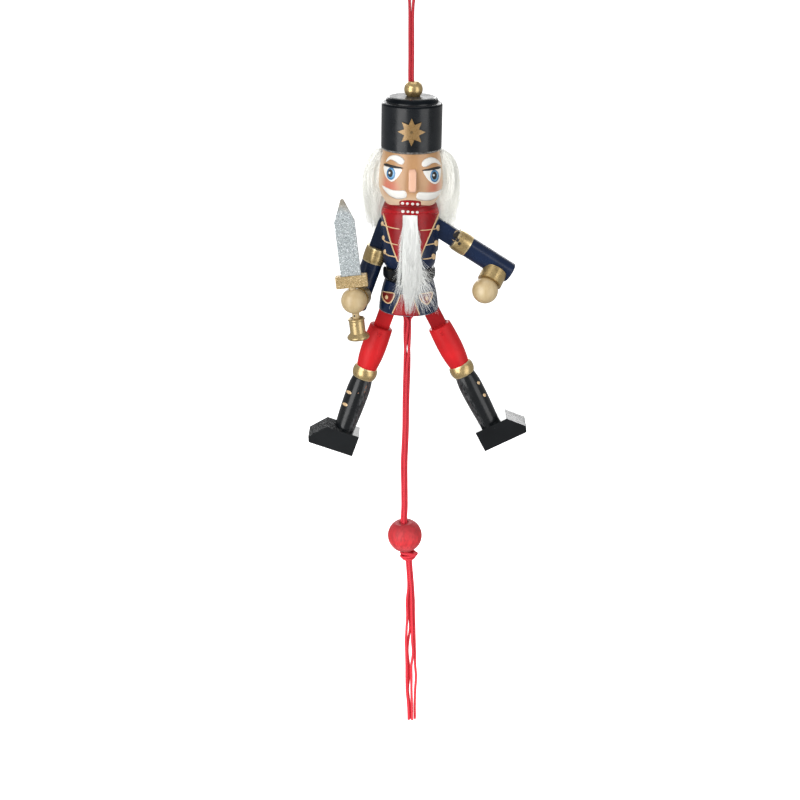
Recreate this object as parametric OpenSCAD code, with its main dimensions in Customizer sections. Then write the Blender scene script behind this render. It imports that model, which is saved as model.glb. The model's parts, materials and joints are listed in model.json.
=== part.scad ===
// Wooden soldier jumping jack on a hanging cord, with a pull string.
// Millimetres, +Z up, the figure faces -Y. The origin is where the hanging loop
// bears on its hook. "Left" and "right" are the viewer's.

/* [Cords] */
// Diameter of the satin cord of the loop and the pull strings
cord_d = 1; // [0.8:0.05:1.1]
// From the hook's bearing point down to the top of the finial
hang_len = 36.35; // [30:0.05:45]
// Play between the cords and a hole that they run through
cord_gap = 0.1; // [0.05:0.01:0.2]

/* [Finial and hat] */
// Diameter of the gold finial ball
finial_d = 6.5; // [5.5:0.1:7.5]
// Height of the finial between its two flats
finial_h = 5.05; // [4.6:0.05:5.4]
// Height of the finial's middle above its lower flat
finial_rise = 2.3; // [2:0.05:2.6]
// How far the finial sits to the viewer's right of the hat's axis
finial_x = 0.4; // [0:0.1:0.5]
// Diameter of the hat
hat_d = 21.2; // [19:0.1:24]
// Height of the hat
hat_h = 18.5; // [15:0.1:22]
// Diameter of the flat disc on top of the hat
hat_disc_d = 14.3; // [10:0.1:16]
// Diameter of the domed crown at its foot
hat_crown_d = 18.4; // [16.5:0.1:18.8]
// Height of the domed crown
hat_crown_h = 1.9; // [1:0.1:3]
// Height of the rounded step below the crown
hat_step_h = 1; // [0.6:0.1:1.6]
// Radius of the hat's rounded edges
hat_edge_r = 1.1; // [0.5:0.1:1.8]
// Outer diameter of the eight-pointed star
star_d = 9.5; // [7:0.1:12]
// Diameter at the notches of the star
star_notch_d = 5.4; // [4:0.1:6.5]
// Thickness of the star
star_t = 0.6; // [0.4:0.1:1]
// Height of the star's middle above the hat's lower face
star_rise = 7.9; // [6.5:0.1:10]
// Diameter of the star's tack
tack_d = 1; // [0.8:0.1:1.4]
// Depth of the tack in the hat
tack_depth = 3; // [2:0.1:5]

/* [Head] */
// Height of the head
head_h = 19.4; // [17.5:0.1:23]
// Diameter of the head under the hat
head_top_d = 19.6; // [18:0.1:20.4]
// Largest diameter of the head
head_d = 22.6; // [21.5:0.1:25]
// Diameter of the head at the chin
chin_d = 17.8; // [16:0.1:19.5]
// Height of the largest diameter above the chin
cheek_rise = 7.8; // [5.5:0.1:10]
// Radius of the rounded chin edge
chin_r = 1; // [0.5:0.1:1.5]
// Diameter of the tenon on top of the head
tenon_d = 10; // [8:0.1:12]
// Height of the tenon
tenon_h = 3; // [2:0.1:4]
// Angle that the face is turned to the viewer's right
face_turn = 1.5; // [0:0.5:8]
// Width of the nose
nose_w = 2.7; // [2:0.1:4]
// Height of the nose
nose_h = 7.6; // [6:0.1:9]
// How far the nose's lower end stands out of the face
nose_out = 2.3; // [1.5:0.1:3]
// Height of the nose's lower end above the chin
nose_rise = 6.9; // [5.5:0.1:8]

/* [Hair and beard] */
// Clearance between the soft pieces and the wood
soft_gap = 0.3; // [0.2:0.05:0.5]
// Outer radius of the hair under the hat
hair_top_r = 13; // [12:0.1:14]
// Outer radius of the hair at its widest
hair_r = 17; // [15:0.1:18]
// Outer radius of the hair at its lower end
hair_low_r = 13.6; // [13:0.1:15]
// Length of the hair at the back, from under the hat
hair_len = 26.5; // [22:0.1:29]
// Length of the side locks, from under the hat
lock_len = 16.5; // [12:0.1:17.5]
// How far the side locks reach ahead of the middle plane
hair_front = 1; // [0:0.1:2]
// Width of the beard at its top
beard_top_w = 5.4; // [4:0.1:8]
// Largest width of the beard
beard_w = 9.8; // [7:0.1:12]
// Length of the beard
beard_len = 36.3; // [30:0.1:38]
// Thickness of the beard
beard_t = 1.7; // [1:0.1:2.5]
// From the chin down to the top of the beard
beard_drop = 1.7; // [1.5:0.1:4]

/* [Coat] */
// Height of the chest
chest_h = 22.5; // [21.5:0.1:26]
// Diameter of the chest's flat top
collar_d = 17; // [14:0.1:18]
// Largest diameter of the chest
chest_d = 20.8; // [19.8:0.1:23]
// Diameter of the waist
waist_d = 16; // [15.2:0.1:17]
// Height of the rounded shoulder
shoulder_h = 4.6; // [3.5:0.1:5.5]
// Height of the taper down to the waist
waist_taper_h = 8.6; // [6:0.1:9]
// Bore in the chest, from below
chest_bore_d = 14.2; // [14:0.1:14.6]
// Wood left between the chest's bore and its top, which the neck dowel goes through
chest_roof_h = 3.4; // [3:0.1:3.4]
// Diameter of the belt
belt_d = 18.8; // [17:0.1:20]
// Height of the belt
belt_h = 4.8; // [3.5:0.1:6]
// Height of the skirt
skirt_h = 11.3; // [10:0.1:14]
// Diameter of the skirt under the belt
skirt_top_d = 17.4; // [16:0.1:19]
// Diameter of the hem
hem_d = 21.5; // [20:0.1:24]
// Radius of the coat's small rounded edges
coat_edge_r = 0.5; // [0.3:0.05:0.8]
// Height of the skirt's spigot above the belt
spigot_h = 4; // [2.5:0.1:5]
// Bore through the skirt and its spigot
skirt_bore_d = 10.6; // [10.4:0.1:11]
// Diameter of the dowel between head and chest
neck_dowel_d = 4; // [3:0.1:4.4]
// Depth of the neck dowel in the head
neck_dowel_head = 6; // [4:0.1:8]

/* [Joints] */
// Thickness of the flat tabs of the limbs
tab_t = 2.4; // [2:0.1:2.6]
// Play of a tab in its slot, on each side and past its ends
tab_gap = 0.3; // [0.2:0.05:0.4]
// Diameter of the hinge pins
pin_d = 1.5; // [1.2:0.1:1.8]
// Radial running clearance of the pins in the tabs
pin_gap = 0.08; // [0.03:0.01:0.1]
// Wood left in front of a hinge pin, which is driven in from behind
pin_skin = 1.4; // [1:0.1:2]
// From the middle plane out to each shoulder pin
shoulder_x = 8.4; // [8.2:0.1:8.8]
// From the chin down to the shoulder pins
shoulder_drop = 7.5; // [7:0.1:8.5]
// From the middle plane out to each hip pin
hip_x = 6.4; // [6.2:0.1:6.8]
// Height of the hip pins above the hem
hip_rise = 2.9; // [2.8:0.1:4]
// Distance of the string hole from the shoulder pin
arm_lever = 3.9; // [3.5:0.1:4]
// Distance of the string hole from the hip pin
leg_lever = 4.75; // [4.3:0.05:4.8]
// Diameter of the string holes
string_hole_d = 1.1; // [0.9:0.05:1.3]
// Angle of the left arm from hanging straight down, as it hangs
left_arm_angle = 18.9; // [18.5:0.1:30]
// Angle of the right arm from hanging straight down, as it hangs
right_arm_angle = 58; // [18.5:0.5:60]
// Angle of the left leg from hanging straight down, as it hangs
left_leg_angle = 18.5; // [10:0.1:30]
// Angle of the right leg from hanging straight down, as it hangs
right_leg_angle = 27.7; // [10:0.1:30]
// Angle in the arm from its hand end round to its string hole
arm_lever_turn = 205; // [202:0.5:208]
// Angle in the leg from its foot end round to its string hole
leg_lever_turn = 222.3; // [215:0.1:228]

/* [Arms] */
// Width of the arm's tab
arm_tab_w = 6.2; // [5.4:0.1:6.4]
// From the shoulder pin to the sleeve ring
sleeve_start = 9.2; // [8.8:0.1:10]
// Length of the sleeve ring
sleeve_len = 5.5; // [5:0.1:6.5]
// Largest diameter of the sleeve ring
sleeve_d = 8; // [7.6:0.1:8]
// Diameter of the sleeve ring at its ends
sleeve_end_d = 7.7; // [7.1:0.1:7.9]
// Play between the sleeve ring and the hollow in the coat
sleeve_gap = 0.35; // [0.3:0.05:0.5]
// Length of the forearm past the sleeve ring
forearm_len = 18.2; // [16:0.1:20]
// Diameter of the forearm
forearm_d = 7.5; // [6.6:0.1:7.6]
// Radius of the forearm's rounded end
forearm_end_r = 0.8; // [0.4:0.1:1.4]
// Diameter of the forearm's spigot in the sleeve ring
elbow_spigot_d = 4; // [3:0.1:4.4]
// Length of that spigot
elbow_spigot_len = 2; // [1.5:0.1:2.2]
// Diameter of the elbow pin
elbow_pin_d = 1.2; // [0.9:0.1:1.4]
// Depth of the elbow pin's ends below the sleeve ring's surface
elbow_pin_sink = 0.5; // [0.3:0.1:0.9]
// From the ring's upper end to the elbow pin
elbow_pin_pos = 1.7; // [1.4:0.1:1.9]
// From the forearm's end back to the middle of the cuff
cuff_back = 5.3; // [4.5:0.1:5.8]
// Diameter of the cuff
cuff_d = 8.9; // [8:0.1:9.1]
// From the forearm's axis to the cuff's inner end, which is hollowed to sit on the forearm
cuff_start = 2.5; // [2:0.1:3]
// From the forearm's axis to the cuff's outer face
cuff_reach = 7.4; // [6.5:0.1:8]
// Diameter of the ball that is the hand
hand_d = 9.3; // [8.6:0.1:10]
// From the forearm's axis to the middle of the hand
hand_reach = 11; // [10.6:0.1:11.6]
// Diameter of the dowel that holds the hand
hand_dowel_d = 2; // [1.6:0.1:2.4]
// Depth of that dowel in the forearm, from its axis
hand_dowel_in = 1.2; // [0.6:0.1:1.5]
// Depth of that dowel in the hand, from the hand's middle
hand_dowel_stop = 2.6; // [2.4:0.1:3]
// Roll of the right hand, inward from facing forward
right_hand_roll = 53; // [0:1:60]
// Roll of the left hand, outward from facing forward
left_hand_roll = 11; // [0:1:20]

/* [Sword] */
// Lean of the sword to the viewer's left, from upright, as it hangs
sword_lean = 7; // [0:0.1:10]
// Half the height of the hand between the flats that the sword passes through
hand_flat = 4.3; // [4.1:0.05:4.5]
// Width of the blade
blade_w = 7.2; // [6:0.1:8]
// Thickness of the blade
blade_t = 1.8; // [1.4:0.1:2.4]
// Length of the blade above the guard
blade_len = 27.4; // [22:0.1:32]
// Length of the blade's point
blade_point_len = 7.9; // [6:0.1:10]
// Width of the blade's blunt tip
blade_tip_w = 0.9; // [0.6:0.1:1.4]
// Width of the guard
guard_w = 11.3; // [9:0.1:13]
// Height of the guard
guard_h = 4.3; // [4:0.1:6]
// Thickness of the guard
guard_t = 3.2; // [2.9:0.1:4.5]
// Depth of the blade in the guard
blade_seat = 2.1; // [1.5:0.1:2.2]
// Diameter of the tang, a dowel through the hand
tang_d = 2.6; // [2.2:0.1:2.7]
// Depth of the tang in the guard
tang_seat = 1.6; // [1:0.1:1.7]
// Length of bare tang between guard and hand
tang_top_bare = 0.8; // [0.4:0.1:1.2]
// Length of bare tang between hand and grip
tang_bare = 2.1; // [0.6:0.1:2.6]
// Depth of the tang in the grip
tang_grip_depth = 4; // [3:0.1:5]
// Diameter of the grip
grip_d = 5.6; // [4.6:0.1:5.8]
// Length of the grip above the pommel
grip_len = 5.4; // [4.8:0.1:7.5]
// How far the rim at the grip's upper end stands out
grip_rim = 0.25; // [0.1:0.05:0.4]
// Diameter of the pommel
pommel_d = 8.1; // [7:0.1:8.4]
// Height of the pommel
pommel_h = 2.4; // [2:0.1:3]

/* [Legs] */
// Width of the leg's tab
leg_tab_w = 5.7; // [5.2:0.1:5.8]
// From the hip pin to the top of the thigh
thigh_start = 10.3; // [10:0.1:11]
// Length of the thigh
thigh_len = 16.5; // [14:0.1:18]
// Diameter of the thigh at its top
thigh_d = 8.5; // [8:0.1:8.7]
// Largest diameter of the thigh
thigh_mid_d = 9; // [8.8:0.1:9.1]
// Diameter of the thigh at the knee
thigh_low_d = 7.5; // [7:0.1:7.9]
// Depth of the tab in the thigh
thigh_slot = 4.5; // [3.5:0.1:6]
// Diameter of the pin that holds the tab in the thigh
thigh_pin_d = 1.2; // [1:0.1:1.4]
// Depth of the thigh pin's ends below the surface
thigh_pin_sink = 0.6; // [0.3:0.1:1]
// Length of the knee ring
knee_len = 4.3; // [3.5:0.1:5]
// Largest diameter of the knee ring
knee_d = 9.1; // [8.6:0.1:9.4]
// Diameter of the knee ring at its ends
knee_end_d = 8; // [7.6:0.1:8.4]
// Diameter of the dowel through the knee
knee_dowel_d = 2.4; // [2:0.1:3]
// Depth of that dowel in the thigh and in the boot
knee_dowel_depth = 4.5; // [3:0.1:6]
// Length of the boot's leg
boot_len = 21.2; // [18:0.1:23]
// Diameter of the boot's leg at its top
boot_d = 7.4; // [7:0.1:7.6]
// Largest diameter of the boot's leg
boot_calf_d = 8.5; // [7.7:0.1:8.6]
// Diameter of the boot's leg at the foot
boot_low_d = 7.4; // [6.5:0.1:7.6]
// Radius of the rounded edges of thigh and boot
leg_edge_r = 0.6; // [0.3:0.1:0.9]
// Diameter of the tenon under the boot's leg
ankle_d = 4; // [3:0.1:5]
// Length of that tenon
ankle_len = 4; // [3:0.1:5]
// Height of the foot
foot_h = 8.1; // [7:0.1:9]
// Width of the foot, front to back
foot_w = 10.5; // [9:0.1:12]
// From the leg's axis to the heel
heel_len = 5.9; // [4.9:0.1:6.8]
// From the leg's axis to the toe
toe_len = 12; // [10.5:0.1:13]
// Length of the foot's flat top past the leg's axis
instep_len = 6.9; // [5:0.1:8]
// Height of the toe's blunt front
toe_h = 2.2; // [1.8:0.1:3.5]
// How far the sole's edge is set back under the toe
toe_undercut = 0.9; // [0.4:0.1:1.4]

/* [Pull bead] */
// Diameter of the pull bead
bead_d = 13; // [11:0.1:14]
// Height of the bead between its flats
bead_h = 11; // [10:0.1:11.2]
// Diameter of the bead's hole
bead_hole_d = 3; // [2.8:0.1:3.6]
// Depth of the chamfer at the bead's hole
bead_chamfer = 0.5; // [0.3:0.1:0.8]
// Diameter of the knot under the bead
knot_d = 6.6; // [5:0.1:7]
// Height of that knot
knot_h = 4.2; // [3.4:0.1:5]

/* [Hidden] */
$fn = 64;

// Overrun of every cut past the face that it opens
over = 1;
// Twice the overrun, for a cut that opens two faces
over2 = 2 * over;
// Steps in an arc of a turned outline
ARC_STEPS = 8;

// Levels along the figure's axis
finial_top = -hang_len;
hat_top = finial_top - finial_h;
hat_bottom = hat_top - hat_h;
chin = hat_bottom - head_h;
waist = chin - chest_h;
skirt_top = waist - belt_h;
hem = skirt_top - skirt_h;
shoulder_z = chin - shoulder_drop;
hip_z = hem + hip_rise;

// Routes of the cords: points chosen by hand
// One side of the hanging loop, from its knot in the hat up to the top: half the spread, z,
// and x of the middle between the two sides
loop_side = [[0.52, -47.5, 0], [0.52, -42, 0], [0.52, -36, -0.45], [0.52, -28, -0.55],
    [0.52, -20, -0.7], [0.52, -13, -0.8], [0.8, -8.5, -0.75], [1.6, -5.5, -0.5],
    [2.2, -3.2, -0.2], [2.2, -1.3, 0], [1.4, 0.1, 0]];
loop_top = [0, 0.5];
// The four pull strings run together below the hem: x and z of their middle, how far each lies
// from it, and the turn of the four about it
bundle = [[-0.3, -122, 0.95, 45], [-0.3, -127, 0.92, 40], [-0.25, -133.5, 0.95, 0],
    [-0.2, -140, 0.8, -40], [-0.35, -153, 0.75, -45], [-0.3, -165, 0.75, -50],
    [-0.6, -178, 0.78, -40], [-0.4, -187, 0.75, -45], [-0.2, -196, 0.75, -50],
    [-0.35, -202.5, 0.75, -45], [0.1, -208.2, 0.75, -45], [0.7, -213.7, 0.75, -45],
    [1.7, -217.9, 0.75, -45], [2, -221, 0.75, -45], [2.68, -229.3, 0.84, -40]];
// Below the knot they spread out side by side: z, then x of each, from the left
tail = [[-235.8, 1.35, 2.22, 3.1, 3.97], [-242.3, 1.58, 2.45, 3.31, 4.18],
    [-248, 1.42, 2.8, 3.6, 4.42], [-253.2, 1.28, 2.2, 3.7, 4.64], [-258.5, 1.48, 1.95, 4.1, 4.88],
    [-264.1, 1.67, 2.55, 3.6, 5.05], [-269.5, 1.78, 2.75, 3.7, 5.48], [-275.3, 1.99, 2.4, 3.8, 5.29],
    [-282.1, 2.64, 3.1, 4.1, 5.24], [-288.6, 2.93, 3.4, 4.25, 5.39]];
// How far the strings of the arms lie before the middle there, and those of the legs behind it
tail_depth = 0.5;
// Upper end of each string at its lever, and the points on its way down to the others: x, y and z
string_arm_left = [[-5.3, -1.9, -85.4], [-3, -1.9, -104], [-2.2, -1.9, -118.5]];
string_arm_right = [[4.7, -1.9, -87.9], [2.8, -1.9, -104], [1.8, -1.9, -118.5]];
string_leg_left = [[-2.2, 1.9, -114], [-1.9, 1.9, -118.5]];
string_leg_right = [[1.9, 1.9, -114.8], [1.7, 1.9, -118.5]];
// the strings' places round the middle of the bundle, in degrees
arm_left_turn = 225;
arm_right_turn = 315;
leg_left_turn = 135;
leg_right_turn = 45;

// The bead hangs a little askew on its strings
bead_x = 0.1;
bead_z = -208.2;
bead_tilt = 5.5;
knot_x = 1.8;
knot_z = -216;

// Size of the small knots that tie the strings to the levers
string_knot_d = 1.4;
string_knot_t = 0.7;
// Size of the knot that holds the hanging loop in the hat
hanger_knot_d = 5;
hanger_knot_h = 3.4;
hanger_knot_top = loop_side[0][1];
// Play round the hanger's knot in its recess
knot_room = 0.6;
// Radius of the lever's end round the string hole
lever_end_r = 1.2;
// Wood between the neck dowel and the slots of the arms
slot_wall = 1.5;
// Power of the flare in the skirt's side
flare_power = 1.6;
// Height of the widest place of the thigh and of the boot's leg, as a share of their lengths
thigh_mid_share = 0.5;
calf_share = 0.7;

function arc(x, z, r, a, b, n = ARC_STEPS) =
    [for (i = [0:n]) [x + r * cos(a + (b - a) * i / n), z + r * sin(a + (b - a) * i / n)]];
function unit(v) = v / norm(v);

// A barrel's side from (d0, 0) to (d1, h), bulging to the diameter dm at height hm
function bulge(d0, d1, dm, h, hm, n = ARC_STEPS) = concat(
    [for (i = [0:n]) [dm / 2 - (dm - d0) / 2 * pow(1 - i / n, 2), hm * i / n]],
    [for (i = [1:n]) [dm / 2 - (dm - d1) / 2 * pow(i / n, 2), hm + (h - hm) * i / n]]);

// A tube of eight sides swept along points, each in a plane across the path
TUBE_SIDES = 8;
function tube_dir(p, i) = unit(p[min(i + 1, len(p) - 1)] - p[max(i - 1, 0)]);
function tube_ring(p, i, r) = let (t = tube_dir(p, i), u = unit(cross(t, [0, 1, 0])), v = cross(u, t))
    [for (k = [0:TUBE_SIDES - 1]) p[i] + r * (u * cos(360 * (k + 0.5) / TUBE_SIDES)
        + v * sin(360 * (k + 0.5) / TUBE_SIDES))];

module tube(p, d) {
    n = len(p);
    s = TUBE_SIDES;
    points = [for (i = [0:n - 1]) each tube_ring(p, i, d / 2)];
    sides = [for (i = [0:n - 2], k = [0:s - 1]) let (a = i * s + k, b = i * s + (k + 1) % s)
        each [[a, b, b + s], [a, b + s, a + s]]];
    start = [for (k = [1:s - 2]) [0, k + 1, k]];
    finish = [for (k = [1:s - 2]) [(n - 1) * s, (n - 1) * s + k, (n - 1) * s + k + 1]];
    polyhedron(points, concat(sides, start, finish), convexity = 4);
}

module turned(points) {
    rotate_extrude(convexity = 4) polygon(points);
}

// A cylinder that lies front to back, from y = a to y = b
module rod_y(d, a, b) {
    translate([0, b, 0]) rotate([90, 0, 0]) cylinder(d = d, h = b - a);
}

// A lever from the origin to q, with a round end, as a flat outline
module lever_outline(q, root, r) {
    turn = atan2(q[1], q[0]);
    side = [-sin(turn), cos(turn)] * root;
    polygon(concat(arc(q[0], q[1], r, turn - 90, turn + 90, 2 * ARC_STEPS), [side, -side]));
}

module mirrored() {
    mirror([1, 0, 0]) children();
}

// Hanging cord
module hanging_loop() {
    left = [for (p = loop_side) [p[2] - p[0], 0, p[1]]];
    right = [for (i = [len(loop_side) - 1:-1:0]) let (p = loop_side[i]) [p[2] + p[0], 0, p[1]]];
    color("firebrick") tube(concat(left, [[loop_top[0], 0, loop_top[1]]], right), cord_d);
}

hanger_hole_d = 2 * (loop_side[0][0] + cord_d / 2 + cord_gap);

// x of the middle between the loop's two sides at the height z, between its points i and i + 1
function loop_x(z, i) = let (a = loop_side[i], b = loop_side[i + 1])
    a[2] + (b[2] - a[2]) * (z - a[1]) / (b[1] - a[1]);

module hanger_knot() {
    r = hanger_knot_h / 2;
    color("firebrick") translate([0, 0, hanger_knot_top - hanger_knot_h])
        turned(concat([[0, 0]], arc(hanger_knot_d / 2 - r, r, r, -90, 90), [[0, hanger_knot_h]]));
}

// Finial and hat
module finial_ball() {
    low_x = loop_x(hat_top, 1);
    color("goldenrod") translate([0, 0, hat_top]) difference() {
        translate([finial_x, 0, 0]) intersection() {
            translate([0, 0, finial_rise]) sphere(d = finial_d);
            cylinder(d = finial_d, h = finial_h);
        }
        translate([low_x, 0, 0]) rotate([0, atan2(loop_x(finial_top, 1) - low_x, finial_h), 0])
            translate([0, 0, -over]) cylinder(d = hanger_hole_d, h = finial_h + over2);
    }
}

module hat() {
    e = hat_edge_r;
    r = hat_d / 2;
    crown_r = hat_crown_d / 2;
    side_top = hat_h - hat_crown_h - hat_step_h;
    crown = [for (i = [0:ARC_STEPS]) let (a = 90 * i / ARC_STEPS)
        [hat_disc_d / 2 + (crown_r - hat_disc_d / 2) * cos(a), side_top + hat_step_h + hat_crown_h * sin(a)]];
    color("#15161a") translate([0, 0, hat_bottom]) difference() {
        turned(concat([[0, 0]], arc(r - e, e, e, -90, 0),
            [for (i = [0:ARC_STEPS]) let (a = 90 * i / ARC_STEPS)
                [crown_r + (r - crown_r) * cos(a), side_top + hat_step_h * sin(a)]],
            crown, [[0, hat_h]]));
        translate([0, 0, -over]) cylinder(d = tenon_d, h = tenon_h + over);
        cylinder(d = hanger_knot_d + 2 * knot_room, h = hanger_knot_top - hat_bottom);
        translate([0, 0, over]) cylinder(d = hanger_hole_d, h = hat_h);
        translate([0, 0, star_rise]) rod_y(tack_d, -r - over, tack_depth - r);
    }
}

// Outline of the star, a point and a notch in turn
STAR_TIPS = 8;
star_points = [for (i = [0:2 * STAR_TIPS - 1])
    let (d = i % 2 == 0 ? star_d : star_notch_d, a = 180 * i / STAR_TIPS) [d / 2 * sin(a), d / 2 * cos(a)]];

module hat_star() {
    r = hat_d / 2;
    color("goldenrod") translate([0, 0, hat_bottom + star_rise]) difference() {
        intersection() {
            rotate([90, 0, 0]) linear_extrude(r + star_t + over) polygon(star_points);
            cylinder(r = r + star_t, h = star_d + over2, center = true);
        }
        cylinder(r = r, h = star_d + 2 * over2, center = true);
        rod_y(tack_d, -r - star_t - over, -r + over);
    }
}

module star_tack() {
    r = hat_d / 2;
    color("dimgray") translate([0, 0, hat_bottom + star_rise]) rod_y(tack_d, -r - star_t, tack_depth - r);
}

// Head
function head_side() = concat(arc(chin_d / 2 - chin_r, chin_r, chin_r, -90, -20),
    [for (p = bulge(chin_d, head_top_d, head_d, head_h - chin_r, cheek_rise - chin_r)) [p[0], p[1] + chin_r]]);

module head_turned() {
    translate([0, 0, chin]) turned(concat([[0, 0]], head_side(), [[0, head_h]]));
}

module head() {
    color("burlywood") difference() {
        union() {
            head_turned();
            translate([0, 0, hat_bottom - over]) cylinder(d = tenon_d, h = tenon_h + over);
        }
        translate([0, 0, chin - over]) cylinder(d = neck_dowel_d, h = neck_dowel_head + over);
    }
}

module nose() {
    tip = -head_d / 2 - nose_out;
    base = -head_d / 2 + over2;
    low = chin + nose_rise;
    edge_share = 0.12;
    profile = [[base, low], [tip + edge_share * nose_h, low], [tip, low + edge_share * nose_h],
        [tip, low + 2 * edge_share * nose_h], [-head_d / 2, low + nose_h], [base, low + nose_h]];
    color("peachpuff") rotate([0, 0, face_turn]) difference() {
        rotate([90, 0, 90]) translate([0, 0, -nose_w / 2]) linear_extrude(nose_w) polygon(profile);
        head_turned();
    }
}

// Outside of the hair: share of the way down, and share of the way out to its widest
hair_upper_shares = [[0, 0], [0.23, 0.75], [0.39, 1]];
hair_lower_shares = [[0.6, 0.85], [1, 0]];

// The room behind the plane at y, from z up by h, that holds a part of the hair
module hair_room(y, z, h) {
    translate([-hair_r - over, y, z]) cube([2 * (hair_r + over), hair_r + over - y, h]);
}

// Hair: locks at both sides of the head, and a curtain behind the arms
module hair() {
    top = hat_bottom - soft_gap;
    low = top - hair_len;
    coat_r = chest_d / 2 + soft_gap;
    inner = concat([[coat_r, low], [coat_r, chin - soft_gap]],
        [for (p = head_side()) if (p[1] > chin_r && p[1] < head_h - soft_gap) [p[0] + soft_gap, chin + p[1]]],
        [[head_top_d / 2 + soft_gap, top]]);
    outer = concat(
        [for (s = hair_upper_shares) [hair_top_r + (hair_r - hair_top_r) * s[1], top - hair_len * s[0]]],
        [for (s = hair_lower_shares) [hair_low_r + (hair_r - hair_low_r) * s[1], top - hair_len * s[0]]]);
    color("ghostwhite") intersection() {
        turned(concat(inner, outer));
        union() {
            hair_room(sleeve_d / 2 + 2 * soft_gap, low - over, hair_len + over2);
            hair_room(-hair_front, top - lock_len, lock_len + over);
        }
    }
}

// Outline of the beard: share of the way down, then share of the way out to its full width
beard_upper_shares = [[0, 0], [0.35, 0.4], [0.47, 1]];
// Below that: share of the way down, then share of the full width
beard_lower_shares = [[0.55, 1], [0.84, 0.5], [1, 0.15]];

// Beard: a flat lock that hangs before the coat
module beard() {
    right = concat(
        [for (s = beard_upper_shares) [(beard_top_w + (beard_w - beard_top_w) * s[1]) / 2, -beard_len * s[0]]],
        [for (s = beard_lower_shares) [beard_w / 2 * s[1], -beard_len * s[0]]]);
    left = [for (i = [len(right) - 1:-1:0]) [-right[i][0], right[i][1]]];
    color("ghostwhite") translate([0, -max(chest_d, hem_d) / 2 - soft_gap, chin - beard_drop])
        rotate([90, 0, 0]) linear_extrude(beard_t) polygon(concat(right, left));
}

module neck_dowel() {
    color("tan") translate([0, 0, chin - chest_roof_h])
        cylinder(d = neck_dowel_d, h = chest_roof_h + neck_dowel_head);
}

// Coat
slot_w = tab_t + 2 * tab_gap;

// The room that a sleeve ring needs where an arm lies against the coat
module sleeve_room() {
    translate([shoulder_x, 0, shoulder_z]) rotate([0, -low_arm_angle, 0])
        translate([0, 0, -sleeve_start - sleeve_len - over])
            cylinder(d = sleeve_d + 2 * sleeve_gap, h = sleeve_len + over + sleeve_gap);
}

// Back and front ends of a pin that is driven in from behind, at x in a turned piece
function behind(x, d) = sqrt(pow(d / 2, 2) - pow(x + pin_d / 2, 2));

module pin_row(x, z, d) {
    for (side = [-1, 1])
        translate([side * x, 0, z]) rod_y(pin_d, pin_skin - behind(x, d), behind(x, d));
}

// The arm that hangs lowest sets the hollow in the coat and the height of the slots
low_arm_angle = min(left_arm_angle, right_arm_angle);
slot_top = shoulder_z + arm_lever * sin(arm_lever_turn - 90 + low_arm_angle) + lever_end_r + tab_gap;
slot_in = neck_dowel_d / 2 + slot_wall;
slot_out = chest_d / 2 + over;

module chest() {
    r = chest_d / 2;
    w = waist_d / 2;
    side = concat([[0, 0], [w, 0]],
        [for (i = [0:ARC_STEPS]) let (a = 90 * i / ARC_STEPS)
            [w + (r - w) * sin(a), waist_taper_h * (1 - cos(a))]],
        [for (i = [0:ARC_STEPS]) let (a = 90 * i / ARC_STEPS)
            [collar_d / 2 + (r - collar_d / 2) * cos(a), chest_h - shoulder_h * (1 - sin(a))]],
        [[0, chest_h]]);
    color("midnightblue") difference() {
        translate([0, 0, waist]) turned(side);
        translate([0, 0, waist - over]) cylinder(d = chest_bore_d, h = chest_h - chest_roof_h + over);
        translate([0, 0, chin - chest_roof_h - over]) cylinder(d = neck_dowel_d, h = chest_roof_h + over2);
        for (side = [-1, 1])
            translate([side * (slot_in + slot_out) / 2, 0, (waist - over + slot_top) / 2])
                cube([slot_out - slot_in, slot_w, slot_top - waist + over], center = true);
        pin_row(shoulder_x, shoulder_z, chest_d);
        sleeve_room();
        mirrored() sleeve_room();
    }
}

module belt() {
    e = belt_h / 3;
    r = belt_d / 2;
    color("#141414") translate([0, 0, skirt_top]) difference() {
        turned(concat([[0, 0]], arc(r - e, e, e, -90, 0), arc(r - e, belt_h - e, e, 0, 90), [[0, belt_h]]));
        translate([0, 0, -over]) cylinder(d = chest_bore_d, h = belt_h + over2);
    }
}

// Radius of the skirt at the share t of the way up from its rounded hem
function skirt_r(t) = hem_d / 2 - (hem_d - skirt_top_d) / 2 * pow(t, flare_power);
hip_skirt_d = 2 * skirt_r((hip_rise - coat_edge_r) / (skirt_h - coat_edge_r));

module skirt() {
    e = coat_edge_r;
    r = hem_d / 2;
    flare = [for (i = [0:ARC_STEPS]) let (t = i / ARC_STEPS) [skirt_r(t), e + (skirt_h - e) * t]];
    color("midnightblue") difference() {
        union() {
            translate([0, 0, hem]) turned(concat([[0, 0]], arc(r - e, e, e, -90, -15), flare, [[0, skirt_h]]));
            translate([0, 0, skirt_top - over]) cylinder(d = chest_bore_d, h = belt_h + spigot_h + over);
        }
        translate([0, 0, hem - over]) cylinder(d = skirt_bore_d, h = skirt_h + belt_h + spigot_h + over2);
        translate([-r - over, -slot_w / 2, hem - over])
            cube([hem_d + over2, slot_w, hip_rise + leg_tab_w / 2 + tab_gap + over]);
        pin_row(hip_x, hip_z, hip_skirt_d);
    }
}

module shoulder_pins() {
    color("darkgoldenrod") pin_row(shoulder_x, shoulder_z, chest_d);
}

module hip_pins() {
    color("darkgoldenrod") pin_row(hip_x, hip_z, hip_skirt_d);
}

// Arms, made at the shoulder pin and hanging down -Z, with +X away from the coat
module at_shoulder(angle) {
    translate([shoulder_x, 0, shoulder_z]) rotate([0, -angle, 0]) children();
}

function lever_point(reach, turn) = reach * [cos(turn - 90), sin(turn - 90)];

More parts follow.
